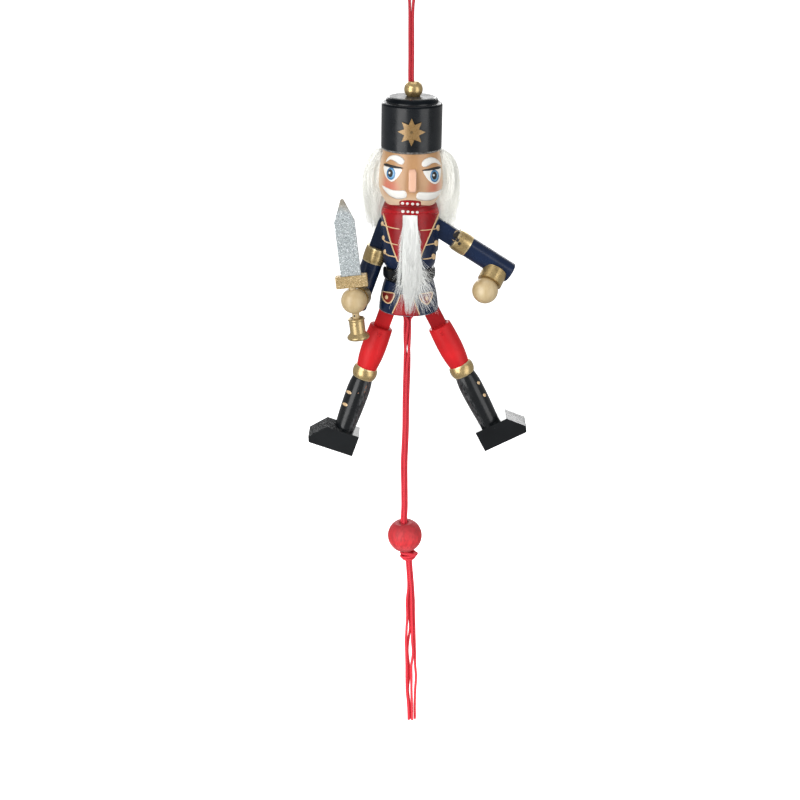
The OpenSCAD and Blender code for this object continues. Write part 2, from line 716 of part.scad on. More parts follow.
arm_end = sleeve_start + sleeve_len + forearm_len;
arm_tab_end = sleeve_start + sleeve_len - elbow_spigot_len;
elbow_pin_z = -sleeve_start - elbow_pin_pos;

// A flat tab with its pivot and string holes: width, lever and lower end
module tab(w, reach, turn, low) {
    rotate([90, 0, 0]) linear_extrude(tab_t, center = true) difference() {
        union() {
            polygon(concat([[w / 2, -low]], arc(0, 0, w / 2, 0, 180, 2 * ARC_STEPS), [[-w / 2, -low]]));
            lever_outline(lever_point(reach, turn), w / 3, lever_end_r);
        }
        circle(r = pin_d / 2 + pin_gap);
        translate(lever_point(reach, turn)) circle(d = string_hole_d);
    }
}

module arm_tab() {
    color("midnightblue") difference() {
        tab(arm_tab_w, arm_lever, arm_lever_turn, arm_tab_end);
        translate([0, 0, elbow_pin_z]) rod_y(elbow_pin_d, -sleeve_d, sleeve_d);
    }
}

module sleeve_ring() {
    color("goldenrod") difference() {
        translate([0, 0, -sleeve_start - sleeve_len]) turned(concat([[0, 0]],
            bulge(sleeve_end_d, sleeve_end_d, sleeve_d, sleeve_len, sleeve_len / 2), [[0, sleeve_len]]));
        translate([-arm_tab_w / 2, -tab_t / 2, -arm_tab_end]) cube([arm_tab_w, tab_t, arm_tab_end]);
        translate([0, 0, -sleeve_start - sleeve_len - over])
            cylinder(d = elbow_spigot_d, h = elbow_spigot_len + over);
        translate([0, 0, elbow_pin_z]) rod_y(elbow_pin_d, -sleeve_d, sleeve_d);
    }
}

module elbow_pin() {
    half = sleeve_d / 2 - elbow_pin_sink;
    color("#3a3a3a") translate([0, 0, elbow_pin_z]) rod_y(elbow_pin_d, -half, half);
}

module forearm_turned() {
    e = forearm_end_r;
    r = forearm_d / 2;
    translate([0, 0, -arm_end]) turned(concat([[0, 0]], arc(r - e, e, e, -90, 0),
        [[r, forearm_len], [0, forearm_len]]));
}

// The place of the hand's axis: it leaves the forearm's axis along -Y
module at_hand(roll) {
    translate([0, 0, cuff_back - arm_end]) rotate([0, 0, roll]) children();
}

module forearm(roll) {
    color("midnightblue") difference() {
        union() {
            forearm_turned();
            translate([0, 0, forearm_len - arm_end - over])
                cylinder(d = elbow_spigot_d, h = elbow_spigot_len + over);
        }
        at_hand(roll) rod_y(hand_dowel_d, -forearm_d, hand_dowel_in);
    }
}

module cuff(roll) {
    color("goldenrod") difference() {
        at_hand(roll) rod_y(cuff_d, -cuff_reach, -cuff_start);
        forearm_turned();
        at_hand(roll) rod_y(hand_dowel_d, -cuff_reach - over, over);
        at_hand(roll) translate([0, -hand_reach, 0]) sphere(d = hand_d);
    }
}

module hand_dowel(roll) {
    color("tan") at_hand(roll) rod_y(hand_dowel_d, hand_dowel_stop - hand_reach, hand_dowel_in);
}

// Outline of a ball with two flats and a bore through them
function flat_ball(d, flat, bore) = let (a = asin(2 * flat / d))
    concat([[bore / 2, -flat]], arc(0, 0, d / 2, -a, a, 2 * ARC_STEPS), [[bore / 2, flat]]);

// The ball of the hand; bored and flattened where it holds the sword
module hand(roll, bored, lean) {
    color("burlywood") at_hand(roll) difference() {
        translate([0, -hand_reach, 0]) rotate([0, 0, -roll]) rotate([0, lean, 0]) {
            if (bored) turned(flat_ball(hand_d, hand_flat, tang_d));
            if (!bored) sphere(d = hand_d);
        }
        rod_y(hand_dowel_d, hand_dowel_stop - hand_reach, 0);
    }
}

module string_knot(point, side) {
    color("firebrick") translate([point[0], side * (tab_t + string_knot_t) / 2, point[1]])
        rotate([90, 0, 0]) cylinder(d = string_knot_d, h = string_knot_t, center = true);
}

// Turn of the sword in the arm, which gives it its lean as it hangs
sword_turn = left_arm_angle + sword_lean;

module at_sword() {
    at_hand(left_hand_roll) translate([0, -hand_reach, 0]) rotate([0, 0, -left_hand_roll])
        rotate([0, sword_turn, 0]) children();
}

guard_z = hand_flat + tang_top_bare;
blade_z = guard_z + guard_h;
grip_z = -hand_flat - tang_bare;

module blade_solid() {
    w = blade_w / 2;
    tip = blade_tip_w / 2;
    rotate([90, 0, 0]) linear_extrude(blade_t, center = true) polygon([[-w, blade_z - blade_seat],
        [-w, blade_z + blade_len - blade_point_len], [-tip, blade_z + blade_len], [tip, blade_z + blade_len],
        [w, blade_z + blade_len - blade_point_len], [w, blade_z - blade_seat]]);
}

module sword_blade() {
    color("silver") at_sword() blade_solid();
}

module tang_solid() {
    translate([0, 0, grip_z - tang_grip_depth])
        cylinder(d = tang_d, h = guard_z + tang_seat - grip_z + tang_grip_depth);
}

module sword_guard() {
    color("goldenrod") at_sword() difference() {
        translate([0, 0, guard_z + guard_h / 2]) cube([guard_w, guard_t, guard_h], center = true);
        blade_solid();
        tang_solid();
    }
}

module sword_tang() {
    color("burlywood") at_sword() tang_solid();
}

module sword_grip() {
    e = pommel_h / 3;
    color("goldenrod") at_sword() difference() {
        translate([0, 0, grip_z - grip_len - pommel_h]) turned(concat([[0, 0]],
            arc(pommel_d / 2 - e, e, e, -90, 30),
            [[grip_d / 2, pommel_h], [grip_d / 2, pommel_h + grip_len - 4 * grip_rim]],
            arc(grip_d / 2 - grip_rim, pommel_h + grip_len - 2 * grip_rim, 2 * grip_rim, -60, 90),
            [[0, pommel_h + grip_len]]));
        tang_solid();
    }
}

// Legs, made at the hip pin and hanging down -Z, with +X outward
module at_hip(angle) {
    translate([hip_x, 0, hip_z]) rotate([0, -angle, 0]) children();
}

thigh_end = thigh_start + thigh_len;
boot_start = thigh_end + knee_len;
boot_end = boot_start + boot_len;
leg_tab_end = thigh_start + thigh_slot;
thigh_pin_z = -thigh_start - thigh_slot / 2;

module leg_tab() {
    color("firebrick") difference() {
        tab(leg_tab_w, leg_lever, leg_lever_turn, leg_tab_end);
        translate([0, 0, thigh_pin_z]) rod_y(thigh_pin_d, -thigh_d, thigh_d);
    }
}

module thigh() {
    e = leg_edge_r;
    color("firebrick") difference() {
        translate([0, 0, -thigh_end]) turned(concat([[0, 0]],
            bulge(thigh_low_d, thigh_d, thigh_mid_d, thigh_len - e, thigh_mid_share * thigh_len),
            arc(thigh_d / 2 - e, thigh_len - e, e, 0, 90), [[0, thigh_len]]));
        translate([-leg_tab_w / 2, -tab_t / 2, -leg_tab_end]) cube([leg_tab_w, tab_t, leg_tab_end]);
        translate([0, 0, thigh_pin_z]) rod_y(thigh_pin_d, -thigh_d, thigh_d);
        knee_dowel_solid();
    }
}

module thigh_pin() {
    half = thigh_d / 2 - thigh_pin_sink;
    color("#3a3a3a") translate([0, 0, thigh_pin_z]) rod_y(thigh_pin_d, -half, half);
}

module knee_dowel_solid() {
    translate([0, 0, -boot_start - knee_dowel_depth])
        cylinder(d = knee_dowel_d, h = knee_len + 2 * knee_dowel_depth);
}

module knee_dowel() {
    color("tan") knee_dowel_solid();
}

module knee_ring() {
    color("goldenrod") difference() {
        translate([0, 0, -boot_start]) turned(concat([[0, 0]],
            bulge(knee_end_d, knee_end_d, knee_d, knee_len, knee_len / 2), [[0, knee_len]]));
        knee_dowel_solid();
    }
}

module boot() {
    e = leg_edge_r;
    color("#15161a") difference() {
        union() {
            translate([0, 0, -boot_end]) turned(concat([[0, 0]],
                bulge(boot_low_d, boot_d, boot_calf_d, boot_len - e, calf_share * boot_len),
                arc(boot_d / 2 - e, boot_len - e, e, 0, 90), [[0, boot_len]]));
            translate([0, 0, -boot_end - ankle_len]) cylinder(d = ankle_d, h = ankle_len + over);
        }
        knee_dowel_solid();
    }
}

module foot() {
    top = -boot_end;
    sole = top - foot_h;
    color("#15161a") difference() {
        rotate([90, 0, 0]) linear_extrude(foot_w, center = true) polygon([[-heel_len, sole],
            [toe_len - toe_undercut, sole], [toe_len, sole + toe_h], [instep_len, top], [-heel_len, top]]);
        translate([0, 0, top - ankle_len]) cylinder(d = ankle_d, h = ankle_len + over);
    }
}

// Pull strings, bead and knot
// turn: the string's place round the middle; place: its place in the tail, from the left
function string_route(head_points, turn, place) = concat(head_points,
    [for (b = bundle) [b[0] + b[2] * cos(turn + b[3]), b[2] * sin(turn + b[3]), b[1]]],
    [for (t = tail) [t[place], place % 2 == 1 ? -tail_depth : tail_depth, t[0]]]);

module pull_string(head_points, turn, place) {
    color("firebrick") tube(string_route(head_points, turn, place), cord_d);
}

module pull_bead() {
    color("firebrick") translate([bead_x, 0, bead_z]) rotate([0, -bead_tilt, 0]) difference() {
        intersection() {
            sphere(d = bead_d);
            cylinder(d = bead_d, h = bead_h, center = true);
        }
        cylinder(d = bead_hole_d, h = bead_h + over2, center = true);
        for (side = [0, 180]) rotate([side, 0, 0]) translate([0, 0, bead_h / 2 - bead_chamfer])
            cylinder(d1 = bead_hole_d, d2 = bead_hole_d + 4 * bead_chamfer, h = 2 * bead_chamfer);
    }
}

module pull_knot() {
    r = knot_h / 2;
    color("firebrick") translate([knot_x, 0, knot_z - r])
        turned(concat([[0, 0]], arc(knot_d / 2 - r, r, r, -90, 90), [[0, knot_h]]));
}

hanging_loop();
hanger_knot();
finial_ball();
hat();
hat_star();
star_tack();
head();
nose();
hair();
beard();
neck_dowel();
chest();
belt();
skirt();
shoulder_pins();
hip_pins();

mirrored() at_shoulder(left_arm_angle) arm_tab();  // arm_tab_left
mirrored() at_shoulder(left_arm_angle) sleeve_ring();  // sleeve_ring_left
mirrored() at_shoulder(left_arm_angle) forearm(left_hand_roll);  // forearm_left
mirrored() at_shoulder(left_arm_angle) elbow_pin();  // elbow_pin_left
mirrored() at_shoulder(left_arm_angle) cuff(left_hand_roll);  // cuff_left
mirrored() at_shoulder(left_arm_angle) hand(left_hand_roll, true, sword_turn);  // hand_left
mirrored() at_shoulder(left_arm_angle) hand_dowel(left_hand_roll);  // hand_dowel_left
mirrored() at_shoulder(left_arm_angle) string_knot(lever_point(arm_lever, arm_lever_turn), -1);  // string_knot_arm_left
mirrored() at_shoulder(left_arm_angle) sword_blade();
mirrored() at_shoulder(left_arm_angle) sword_guard();
mirrored() at_shoulder(left_arm_angle) sword_tang();
mirrored() at_shoulder(left_arm_angle) sword_grip();

at_shoulder(right_arm_angle) arm_tab();  // arm_tab_right
at_shoulder(right_arm_angle) sleeve_ring();  // sleeve_ring_right
at_shoulder(right_arm_angle) forearm(-right_hand_roll);  // forearm_right
at_shoulder(right_arm_angle) elbow_pin();  // elbow_pin_right
at_shoulder(right_arm_angle) cuff(-right_hand_roll);  // cuff_right
at_shoulder(right_arm_angle) hand(-right_hand_roll, false, 0);  // hand_right
at_shoulder(right_arm_angle) hand_dowel(-right_hand_roll);  // hand_dowel_right
at_shoulder(right_arm_angle) string_knot(lever_point(arm_lever, arm_lever_turn), -1);  // string_knot_arm_right

mirrored() at_hip(left_leg_angle) leg_tab();  // leg_tab_left
mirrored() at_hip(left_leg_angle) thigh();  // thigh_left
mirrored() at_hip(left_leg_angle) thigh_pin();  // thigh_pin_left
mirrored() at_hip(left_leg_angle) knee_ring();  // knee_ring_left
mirrored() at_hip(left_leg_angle) knee_dowel();  // knee_dowel_left
mirrored() at_hip(left_leg_angle) boot();  // boot_left
mirrored() at_hip(left_leg_angle) foot();  // foot_left
mirrored() at_hip(left_leg_angle) string_knot(lever_point(leg_lever, leg_lever_turn), 1);  // string_knot_leg_left

at_hip(right_leg_angle) leg_tab();  // leg_tab_right
at_hip(right_leg_angle) thigh();  // thigh_right
at_hip(right_leg_angle) thigh_pin();  // thigh_pin_right
at_hip(right_leg_angle) knee_ring();  // knee_ring_right
at_hip(right_leg_angle) knee_dowel();  // knee_dowel_right
at_hip(right_leg_angle) boot();  // boot_right
at_hip(right_leg_angle) foot();  // foot_right
at_hip(right_leg_angle) string_knot(lever_point(leg_lever, leg_lever_turn), 1);  // string_knot_leg_right

pull_string(string_arm_left, arm_left_turn, 1);  // pull_string_arm_left
pull_string(string_arm_right, arm_right_turn, 3);  // pull_string_arm_right
pull_string(string_leg_left, leg_left_turn, 2);  // pull_string_leg_left
pull_string(string_leg_right, leg_right_turn, 4);  // pull_string_leg_right
pull_bead();
pull_knot();
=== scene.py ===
"""A wooden soldier jumping jack on its cord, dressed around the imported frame. Metres, +Z up."""

import json
import random
from math import cos, pi, radians, sin, sqrt, tau

import bmesh
import bpy
from mathutils import Matrix, Vector
from mathutils.bvhtree import BVHTree


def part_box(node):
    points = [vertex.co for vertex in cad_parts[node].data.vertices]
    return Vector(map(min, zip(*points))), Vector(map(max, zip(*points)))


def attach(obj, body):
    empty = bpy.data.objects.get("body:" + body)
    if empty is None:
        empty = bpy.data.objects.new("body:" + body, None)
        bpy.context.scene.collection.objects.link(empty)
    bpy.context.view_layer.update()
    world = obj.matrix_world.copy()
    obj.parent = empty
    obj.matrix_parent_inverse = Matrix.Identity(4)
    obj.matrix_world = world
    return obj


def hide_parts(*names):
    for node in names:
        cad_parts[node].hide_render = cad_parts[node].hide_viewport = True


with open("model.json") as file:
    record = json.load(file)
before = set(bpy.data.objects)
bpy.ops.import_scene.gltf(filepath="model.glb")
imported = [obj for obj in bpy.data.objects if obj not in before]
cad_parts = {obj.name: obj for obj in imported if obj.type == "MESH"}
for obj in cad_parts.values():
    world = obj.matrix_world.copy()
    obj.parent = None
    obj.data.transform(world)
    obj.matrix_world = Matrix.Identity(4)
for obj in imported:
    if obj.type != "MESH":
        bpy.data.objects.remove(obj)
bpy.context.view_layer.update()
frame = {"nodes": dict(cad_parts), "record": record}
node = frame["nodes"]
BODY = {name: body for body, names in frame["record"]["behaviour"]["bodies"].items() for name in names}
MM = 0.001
SIDES = ("left", "right")

# Camera: the photograph's own view, 800 pixels square
PHOTO = 800
EYE = Vector((0, -0.56, 0.0516))
PITCH = radians(20.1)
ROLL = radians(1.0)
FOCAL_PX = 1614
CENTRE_PX = (406.9, 400)
SENSOR_MM = 36
NEAREST, FARTHEST = 0.01, 20

LOOK = Vector((0, cos(PITCH), -sin(PITCH)))
LEVEL_UP = Vector((0, sin(PITCH), cos(PITCH)))
RIGHT = cos(ROLL) * Vector((1, 0, 0)) + sin(ROLL) * LEVEL_UP
UP = cos(ROLL) * LEVEL_UP - sin(ROLL) * Vector((1, 0, 0))


def put(name, data):
    obj = bpy.data.objects.new(name, data)
    bpy.context.scene.collection.objects.link(obj)
    return obj


def make_camera():
    data = bpy.data.cameras.new("photo_camera")
    data.sensor_width = SENSOR_MM
    data.lens = FOCAL_PX * SENSOR_MM / PHOTO
    data.shift_x = (PHOTO / 2 - CENTRE_PX[0]) / PHOTO
    data.clip_start, data.clip_end = NEAREST, FARTHEST
    camera = put("photo_camera", data)
    columns = (RIGHT, UP, -LOOK, EYE)
    camera.matrix_world = Matrix([[column[i] for column in columns] for i in range(3)] + [(0, 0, 0, 1)])
    bpy.context.scene.camera = camera


make_camera()


# Small tools for curves and meshes

def smooth(points, steps=6, closed=False):
    """Points along a Catmull-Rom curve through the given points."""
    pts = [Vector(p) for p in points]
    n = len(pts)
    out = []
    for i in range(n if closed else n - 1):
        a, b = pts[i], pts[(i + 1) % n]
        before = pts[i - 1] if closed or i > 0 else a + (a - b)
        after = pts[(i + 2) % n] if closed or i + 2 < n else b + (b - a)
        for k in range(steps):
            t = k / steps
            out.append(0.5 * (2 * a + (b - before) * t + (2 * before - 5 * a + 4 * b - after) * t ** 2
                              + (3 * a - before - 3 * b + after) * t ** 3))
    if not closed:
        out.append(pts[-1])
    return out


class Shell:
    """Collects rings of vertices and skins them into one mesh."""

    def __init__(self):
        self.verts, self.faces = [], []

    def loft(self, rings, cap=True):
        """Skins closed rings of equal size, and closes both ends with a fan."""
        n = len(rings[0])
        base = len(self.verts)
        for ring in rings:
            self.verts.extend(ring)
        for i in range(len(rings) - 1):
            a, b = base + i * n, base + (i + 1) * n
            self.faces.extend((a + k, a + (k + 1) % n, b + (k + 1) % n, b + k) for k in range(n))
        if cap:
            for ring, flip in ((0, True), (len(rings) - 1, False)):
                start = base + ring * n
                self.verts.append(sum((self.verts[start + k] for k in range(n)), Vector()) / n)
                tip = len(self.verts) - 1
                for k in range(n):
                    pair = (start + k, start + (k + 1) % n)
                    self.faces.append((pair[1], pair[0], tip) if flip else (*pair, tip))

    def build(self, name, body, paint):
        mesh = bpy.data.meshes.new(name)
        mesh.from_pydata([tuple(v) for v in self.verts], [], self.faces)
        mesh.validate()
        mesh.update()
        mesh.shade_smooth()
        mesh.materials.append(paint.material)
        obj = put(name, mesh)
        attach(obj, body)
        return obj


def tube_rings(path, radius, sides):
    """Rings round a path; radius is a number or a function of the share of the way along."""
    rings = []
    side = Vector((0, 1, 0))
    count = len(path)
    for i, p in enumerate(path):
        along = (path[min(i + 1, count - 1)] - path[max(i - 1, 0)]).normalized()
        side = (side - side.dot(along) * along).normalized()
        other = along.cross(side)
        r = radius(i / (count - 1)) if callable(radius) else radius
        turns = [tau * k / sides for k in range(sides)]
        rings.append([p + r * (cos(a) * side + sin(a) * other) for a in turns])
    return rings


# Materials

class Paint:
    """A principled material with helpers for its nodes; places are the part's own, in metres."""

    def __init__(self, name, color, roughness=0.5, **sockets):
        self.material = bpy.data.materials.new(name)
        self.material.use_nodes = True
        self.tree = self.material.node_tree
        self.bsdf = self.tree.nodes["Principled BSDF"]
        self.bsdf.inputs["Base Color"].default_value = (*color, 1)
        self.bsdf.inputs["Roughness"].default_value = roughness
        for socket, value in sockets.items():
            self.bsdf.inputs[socket.replace("_", " ")].default_value = value
        self.where = self.add("ShaderNodeTexCoord", {}, "Object")

    def add(self, kind, links, out=None, **values):
        """Adds a node and returns its output of that name, or the node itself."""
        made = self.tree.nodes.new(kind)
        for key, value in values.items():
            setattr(made, key, value)
        for key, value in links.items():
            if isinstance(value, bpy.types.NodeSocket):
                self.tree.links.new(value, made.inputs[key])
            else:
                made.inputs[key].default_value = value
        return made if out is None else made.outputs[out]

    def set(self, socket, value):
        self.tree.links.new(value, self.bsdf.inputs[socket])

    def along(self, axis):
        """The surface's own coordinate on an axis."""
        return self.add("ShaderNodeSeparateXYZ", {"Vector": self.where}, axis)

    def facing_up(self):
        """1 where the surface faces up, 0 where it is upright."""
        normal = self.add("ShaderNodeNewGeometry", {}, "Normal")
        return self.add("ShaderNodeSeparateXYZ", {"Vector": normal}, "Z")

    def past_plane(self, origin, normal):
        """Signed distance of the surface from a plane."""
        dot = self.add("ShaderNodeVectorMath", {0: self.where, 1: normal}, "Value", operation="DOT_PRODUCT")
        return self.math("SUBTRACT", dot, Vector(origin).dot(Vector(normal)))

    def away_from(self, centre):
        """Distance of the surface from a point."""
        return self.add("ShaderNodeVectorMath", {0: self.where, 1: centre}, "Value", operation="DISTANCE")

    def drawn_out(self, share):
        """Coordinates that draw a pattern out along the height."""
        return self.add("ShaderNodeMapping", {"Vector": self.where, "Scale": (1, 1, share)}, "Vector")

    def noise(self, scale, detail=4, where=None, rough=0.55):
        """Noise from 0 to 1; its scale is in cells per metre."""
        links = {"Vector": where or self.where, "Scale": scale, "Detail": detail, "Roughness": rough}
        return self.add("ShaderNodeTexNoise", links, "Fac")

    def ramp(self, value, stops):
        made = self.add("ShaderNodeValToRGB", {"Fac": value})
        points = made.color_ramp.elements
        while len(points) < len(stops):
            points.new(0.5)
        for point, (place, color) in zip(points, stops):
            point.position = place
            point.color = (*color, 1)
        return made.outputs["Color"]

    def level(self, value, low, high, out_low=0.0, out_high=1.0):
        """Maps the range low to high onto out_low to out_high, and holds it there."""
        links = {"Value": value, "From Min": low, "From Max": high, "To Min": out_low, "To Max": out_high}
        return self.add("ShaderNodeMapRange", links, "Result")

    def math(self, operation, a, b=0.0):
        return self.add("ShaderNodeMath", {0: a, 1: b}, 0, operation=operation)

    def times(self, a, b):
        return self.math("MULTIPLY", a, b)

    def mix(self, share, *colors):
        """Goes from the first colour to the second."""
        a, b = (c if isinstance(c, bpy.types.NodeSocket) else (*c, 1) for c in colors)
        return self.add("ShaderNodeMix", {"Factor": share, 6: a, 7: b}, 2, data_type="RGBA")

    def cover(self, share, color):
        """Lays a colour over what is painted so far."""
        painted = self.bsdf.inputs["Base Color"].links[0].from_socket
        self.set("Base Color", self.mix(share, painted, color))

    def bump(self, value, depth, strength=1.0, after=None):
        """Relief of a depth in metres, on top of the relief after."""
        links = {"Height": value, "Distance": depth, "Strength": strength}
        if after is not None:
            links["Normal"] = after
        relief = self.add("ShaderNodeBump", links, "Normal")
        self.set("Normal", relief)
        return relief


def scaled(color, share):
    return tuple(min(1, c * share) for c in color)


def gloss_paint(name, color, shade=0.75, gloss=(0.16, 0.34), coat=0.6, wear=None, shine=0.5):
    """Brushed-on gloss paint over turned wood: streaks, blotches darker by shade, and worn spots."""
    p = Paint(name, color, Coat_Weight=coat, Coat_Roughness=0.12, Specular_IOR_Level=shine)
    streak = p.noise(420, 3, p.drawn_out(0.12))
    blotch = p.noise(110, 4)
    tint = p.mix(p.level(blotch, 0.35, 0.65), scaled(color, shade), color)
    if wear:
        worn = p.level(p.noise(900, 5, rough=0.7), 0.69, 0.74)
        tint = p.mix(p.times(worn, 0.6), tint, wear)
    p.set("Base Color", tint)
    p.set("Roughness", p.level(p.noise(260, 4), 0.3, 0.7, *gloss))
    p.bump(streak, 0.06 * MM, 0.5, p.bump(p.noise(1400, 3), 0.02 * MM, 0.5))
    return p


def gold_paint(name, color=(0.465, 0.34, 0.153), dark=(0.15, 0.085, 0.03), metal=0.75):
    """Metallic gold paint with brush marks and darker worn places."""
    p = Paint(name, color, Metallic=metal, Coat_Weight=0.2, Coat_Roughness=0.25)
    fine = p.noise(800, 4, rough=0.65)
    broad = p.noise(230, 5, rough=0.65)
    tint = p.ramp(broad, [(0.22, dark), (0.41, color), (0.6, color), (0.76, scaled(color, 1.35))])
    spots = p.level(fine, 0.62, 0.7)
    p.set("Base Color", p.mix(p.times(spots, 0.5), tint, dark))
    p.set("Roughness", p.level(fine, 0.3, 0.7, 0.2, 0.42))
    p.bump(fine, 0.05 * MM, 0.6, p.bump(broad, 0.12 * MM, 0.6))
    return p


def bare_wood(name, light, dark):
    """Smooth birch with long upright grain."""
    p = Paint(name, light, 0.4, Coat_Weight=0.15, Coat_Roughness=0.3)
    grain = p.noise(260, 6, p.drawn_out(0.1), 0.6)
    pore = p.noise(1500, 3, p.drawn_out(0.06))
    tint = p.mix(p.level(grain, 0.36, 0.68), light, dark)
    p.set("Base Color", p.mix(p.times(p.level(pore, 0.58, 0.7), 0.35), tint, dark))
    p.set("Roughness", p.level(grain, 0.3, 0.7, 0.3, 0.48))
    p.bump(pore, 0.03 * MM, 0.5)
    return p


def glitter(name, low, high, spark):
    """Coarse glitter set in varnish: flakes of many tints, each tilted its own way."""
    p = Paint(name, low, 0.3, Metallic=0.45)
    cells = p.add("ShaderNodeTexVoronoi", {"Vector": p.where, "Scale": 4600.0, "Randomness": 1.0}, "Color")
    tint, gloss, tilt = p.add("ShaderNodeSeparateColor", {"Color": cells}).outputs
    middle = tuple((a + b) / 2 for a, b in zip(low, high))
    p.set("Base Color", p.ramp(tint, [(0.0, low), (0.45, middle), (0.8, high), (0.97, spark)]))
    p.set("Roughness", p.level(gloss, 0, 1, 0.22, 0.6))
    p.bump(tilt, 0.1 * MM, 0.9, p.bump(p.noise(2500, 2), 0.1 * MM, 0.8))
    return p


# heights in metres where painted shade starts to darken the cord and where it is full, towards the top
SHADE_START_Z, SHADE_FULL_Z = -0.29, -0.05


def satin_cord(name, color):
    """Twisted satin cord: fine slanting yarns and a soft sheen, darkened towards the top by painted shade."""
    p = Paint(name, color, 0.55, Specular_IOR_Level=0.2)
    wave = {"Vector": p.where, "Scale": 900.0, "Distortion": 2.0, "Detail": 2.0}
    yarn = p.add("ShaderNodeTexWave", wave, "Fac", wave_type="BANDS", bands_direction="DIAGONAL")
    fleck = p.noise(1600, 4)
    bright = (min(1, color[0] * 1.25), color[1] * 2.4, color[2] * 2.2)
    yarn_color = p.mix(p.level(yarn, 0.1, 0.9), p.mix(fleck, scaled(color, 0.5), color), bright)
    # painted shade: the upper part of the cord is painted darker
    painted_shade = p.mix(0.58, yarn_color, (0.1, 0.002, 0.004))
    p.set("Base Color", p.mix(p.level(p.along("Z"), SHADE_START_Z, SHADE_FULL_Z), yarn_color, painted_shade))
    p.bump(yarn, 0.06 * MM, 0.8, p.bump(fleck, 0.04 * MM, 0.6))
    return p


def fur(name, color, glow):
    """White fur; the glow stands for light that scatters through the fibres."""
    p = Paint(name, color, 0.6, Specular_IOR_Level=0.3, Emission_Color=(*color, 1), Emission_Strength=glow)
    tone = p.noise(330, 3, p.drawn_out(0.3))
    p.set("Base Color", p.ramp(tone, [(0.2, scaled(color, 0.8)), (0.5, color), (0.8, scaled(color, 1.1))]))
    p.bump(p.noise(2200, 3, p.drawn_out(0.1)), 0.05 * MM, 0.5)
    return p


def dull_metal(name, color, roughness):
    p = Paint(name, color, roughness, Metallic=0.9)
    wear = p.noise(1500, 4)
    p.set("Base Color", p.mix(wear, scaled(color, 0.5), color))
    p.bump(wear, 0.03 * MM, 0.6)
    return p


def edge_wear_and_highlight(p, band, color, share):
    """Mixes a colour in where band is 1, broken up by noise: rubbed wear, and on the hat and the gold rings
    painted highlight as well.
    """
    broken = p.level(p.noise(700, 4, rough=0.7), 0.4, 0.6, 0.25, 1.0)
    p.cover(p.times(p.times(band, broken), share), color)


NAVY = (0.0078, 0.0178, 0.052)
RED = (0.585, 0.014, 0.018)
VEST_RED = (0.34, 0.006, 0.01)
BLACK = (0.0055, 0.0068, 0.0082)
SKIN = (0.455, 0.245, 0.105)
PEACH = (0.72, 0.55, 0.39)
BLUSH = (0.58, 0.13, 0.105)


def navy_paint(name):
    return gloss_paint(name, NAVY, 0.7, coat=0.08, wear=(0.08, 0.11, 0.18), shine=0.22)


RED_CORD = satin_cord("red_cord", (0.97, 0.034, 0.052))
GOLD = gold_paint("gold_paint")
GRIP_GOLD = gold_paint("grip_gold", (0.44, 0.325, 0.15), (0.07, 0.04, 0.018), 0.65)
STAR_GOLD = gold_paint("star_gold", (0.26, 0.155, 0.055), (0.14, 0.08, 0.026), 0.3)
# a darker red for the right leg's tab, as painted shade under the skirt
SHADED_TAB_RED = gloss_paint("tab_red_shaded", (0.33, 0.008, 0.011), 0.7, (0.36, 0.55), 0.0, shine=0.15)
RED_PAINT = gloss_paint("red_paint", RED, 0.8, (0.36, 0.55), 0.0, shine=0.17)
VEST_PAINT = gloss_paint("vest_paint", VEST_RED, 0.6, (0.22, 0.42), 0.05, shine=0.18)
# a darker red for the band under the chin, as painted shade
SHADED_COLLAR_PAINT = gloss_paint("collar_red_shaded", (0.24, 0.005, 0.008), 0.5, (0.22, 0.42), 0.05, shine=0.18)
DARK_RED = gloss_paint("dark_red", (0.2, 0.012, 0.012), 0.6)
BRAID = gloss_paint("braid", (0.68, 0.47, 0.25), 0.8, (0.35, 0.5), 0.15)
WHITE_PAINT = gloss_paint("white_paint", (0.74, 0.73, 0.69), 0.93, (0.3, 0.45), 0.1)
NOSE_PAINT = gloss_paint("nose_paint", (0.76, 0.45, 0.31), 0.88, (0.3, 0.45), 0.3)
LID_PAINT = gloss_paint("lid_paint", (0.012, 0.01, 0.009), 0.7, (0.5, 0.65), 0.0)
IRIS = gloss_paint("iris_blue", (0.055, 0.2, 0.42), 0.7)
IRIS_LIGHT = gloss_paint("iris_light", (0.15, 0.38, 0.62), 0.8)
HAIR_FUR = fur("hair_fur", (0.775, 0.775, 0.735), 0.25)
BEARD_FUR = fur("beard_fur", (0.81, 0.82, 0.8), 0.05)
TACK = dull_metal("tack_head", (0.22, 0.15, 0.07), 0.4)
CHIP = gloss_paint("chip_dark", (0.012, 0.01, 0.01), 0.5, (0.5, 0.7), 0.0)
BOOT_CHIP = gloss_paint("boot_chip", (0.16, 0.075, 0.045), 0.5, (0.5, 0.7), 0.0)
CHIP_LIGHT = gloss_paint("chip_light", (0.46, 0.34, 0.19), 0.6, (0.5, 0.7), 0.0)


# Painting by pixel: a ray through the photograph meets a node, or one of several nodes that touch

PAINTED = {
    "jaw": ("head", "chest"),
    "arm_ring": ("sleeve_ring_right", "elbow_pin_right", "arm_tab_right"),
    "thigh_left": ("thigh_left", "thigh_pin_left"),
    "thigh_right": ("thigh_right", "thigh_pin_right"),
}
TREES = {}


def nodes_of(surface):
    return PAINTED.get(surface, (surface,))


def tree_of(surface):
    if surface not in TREES:
        verts, faces = [], []
        for name in nodes_of(surface):
            base = len(verts)
            verts.extend(v.co.copy() for v in node[name].data.vertices)
            faces.extend([base + i for i in f.vertices] for f in node[name].data.polygons)
        TREES[surface] = BVHTree.FromPolygons(verts, faces)
    return TREES[surface]


def middle_of(name):
    low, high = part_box(name)
    return (low + high) / 2


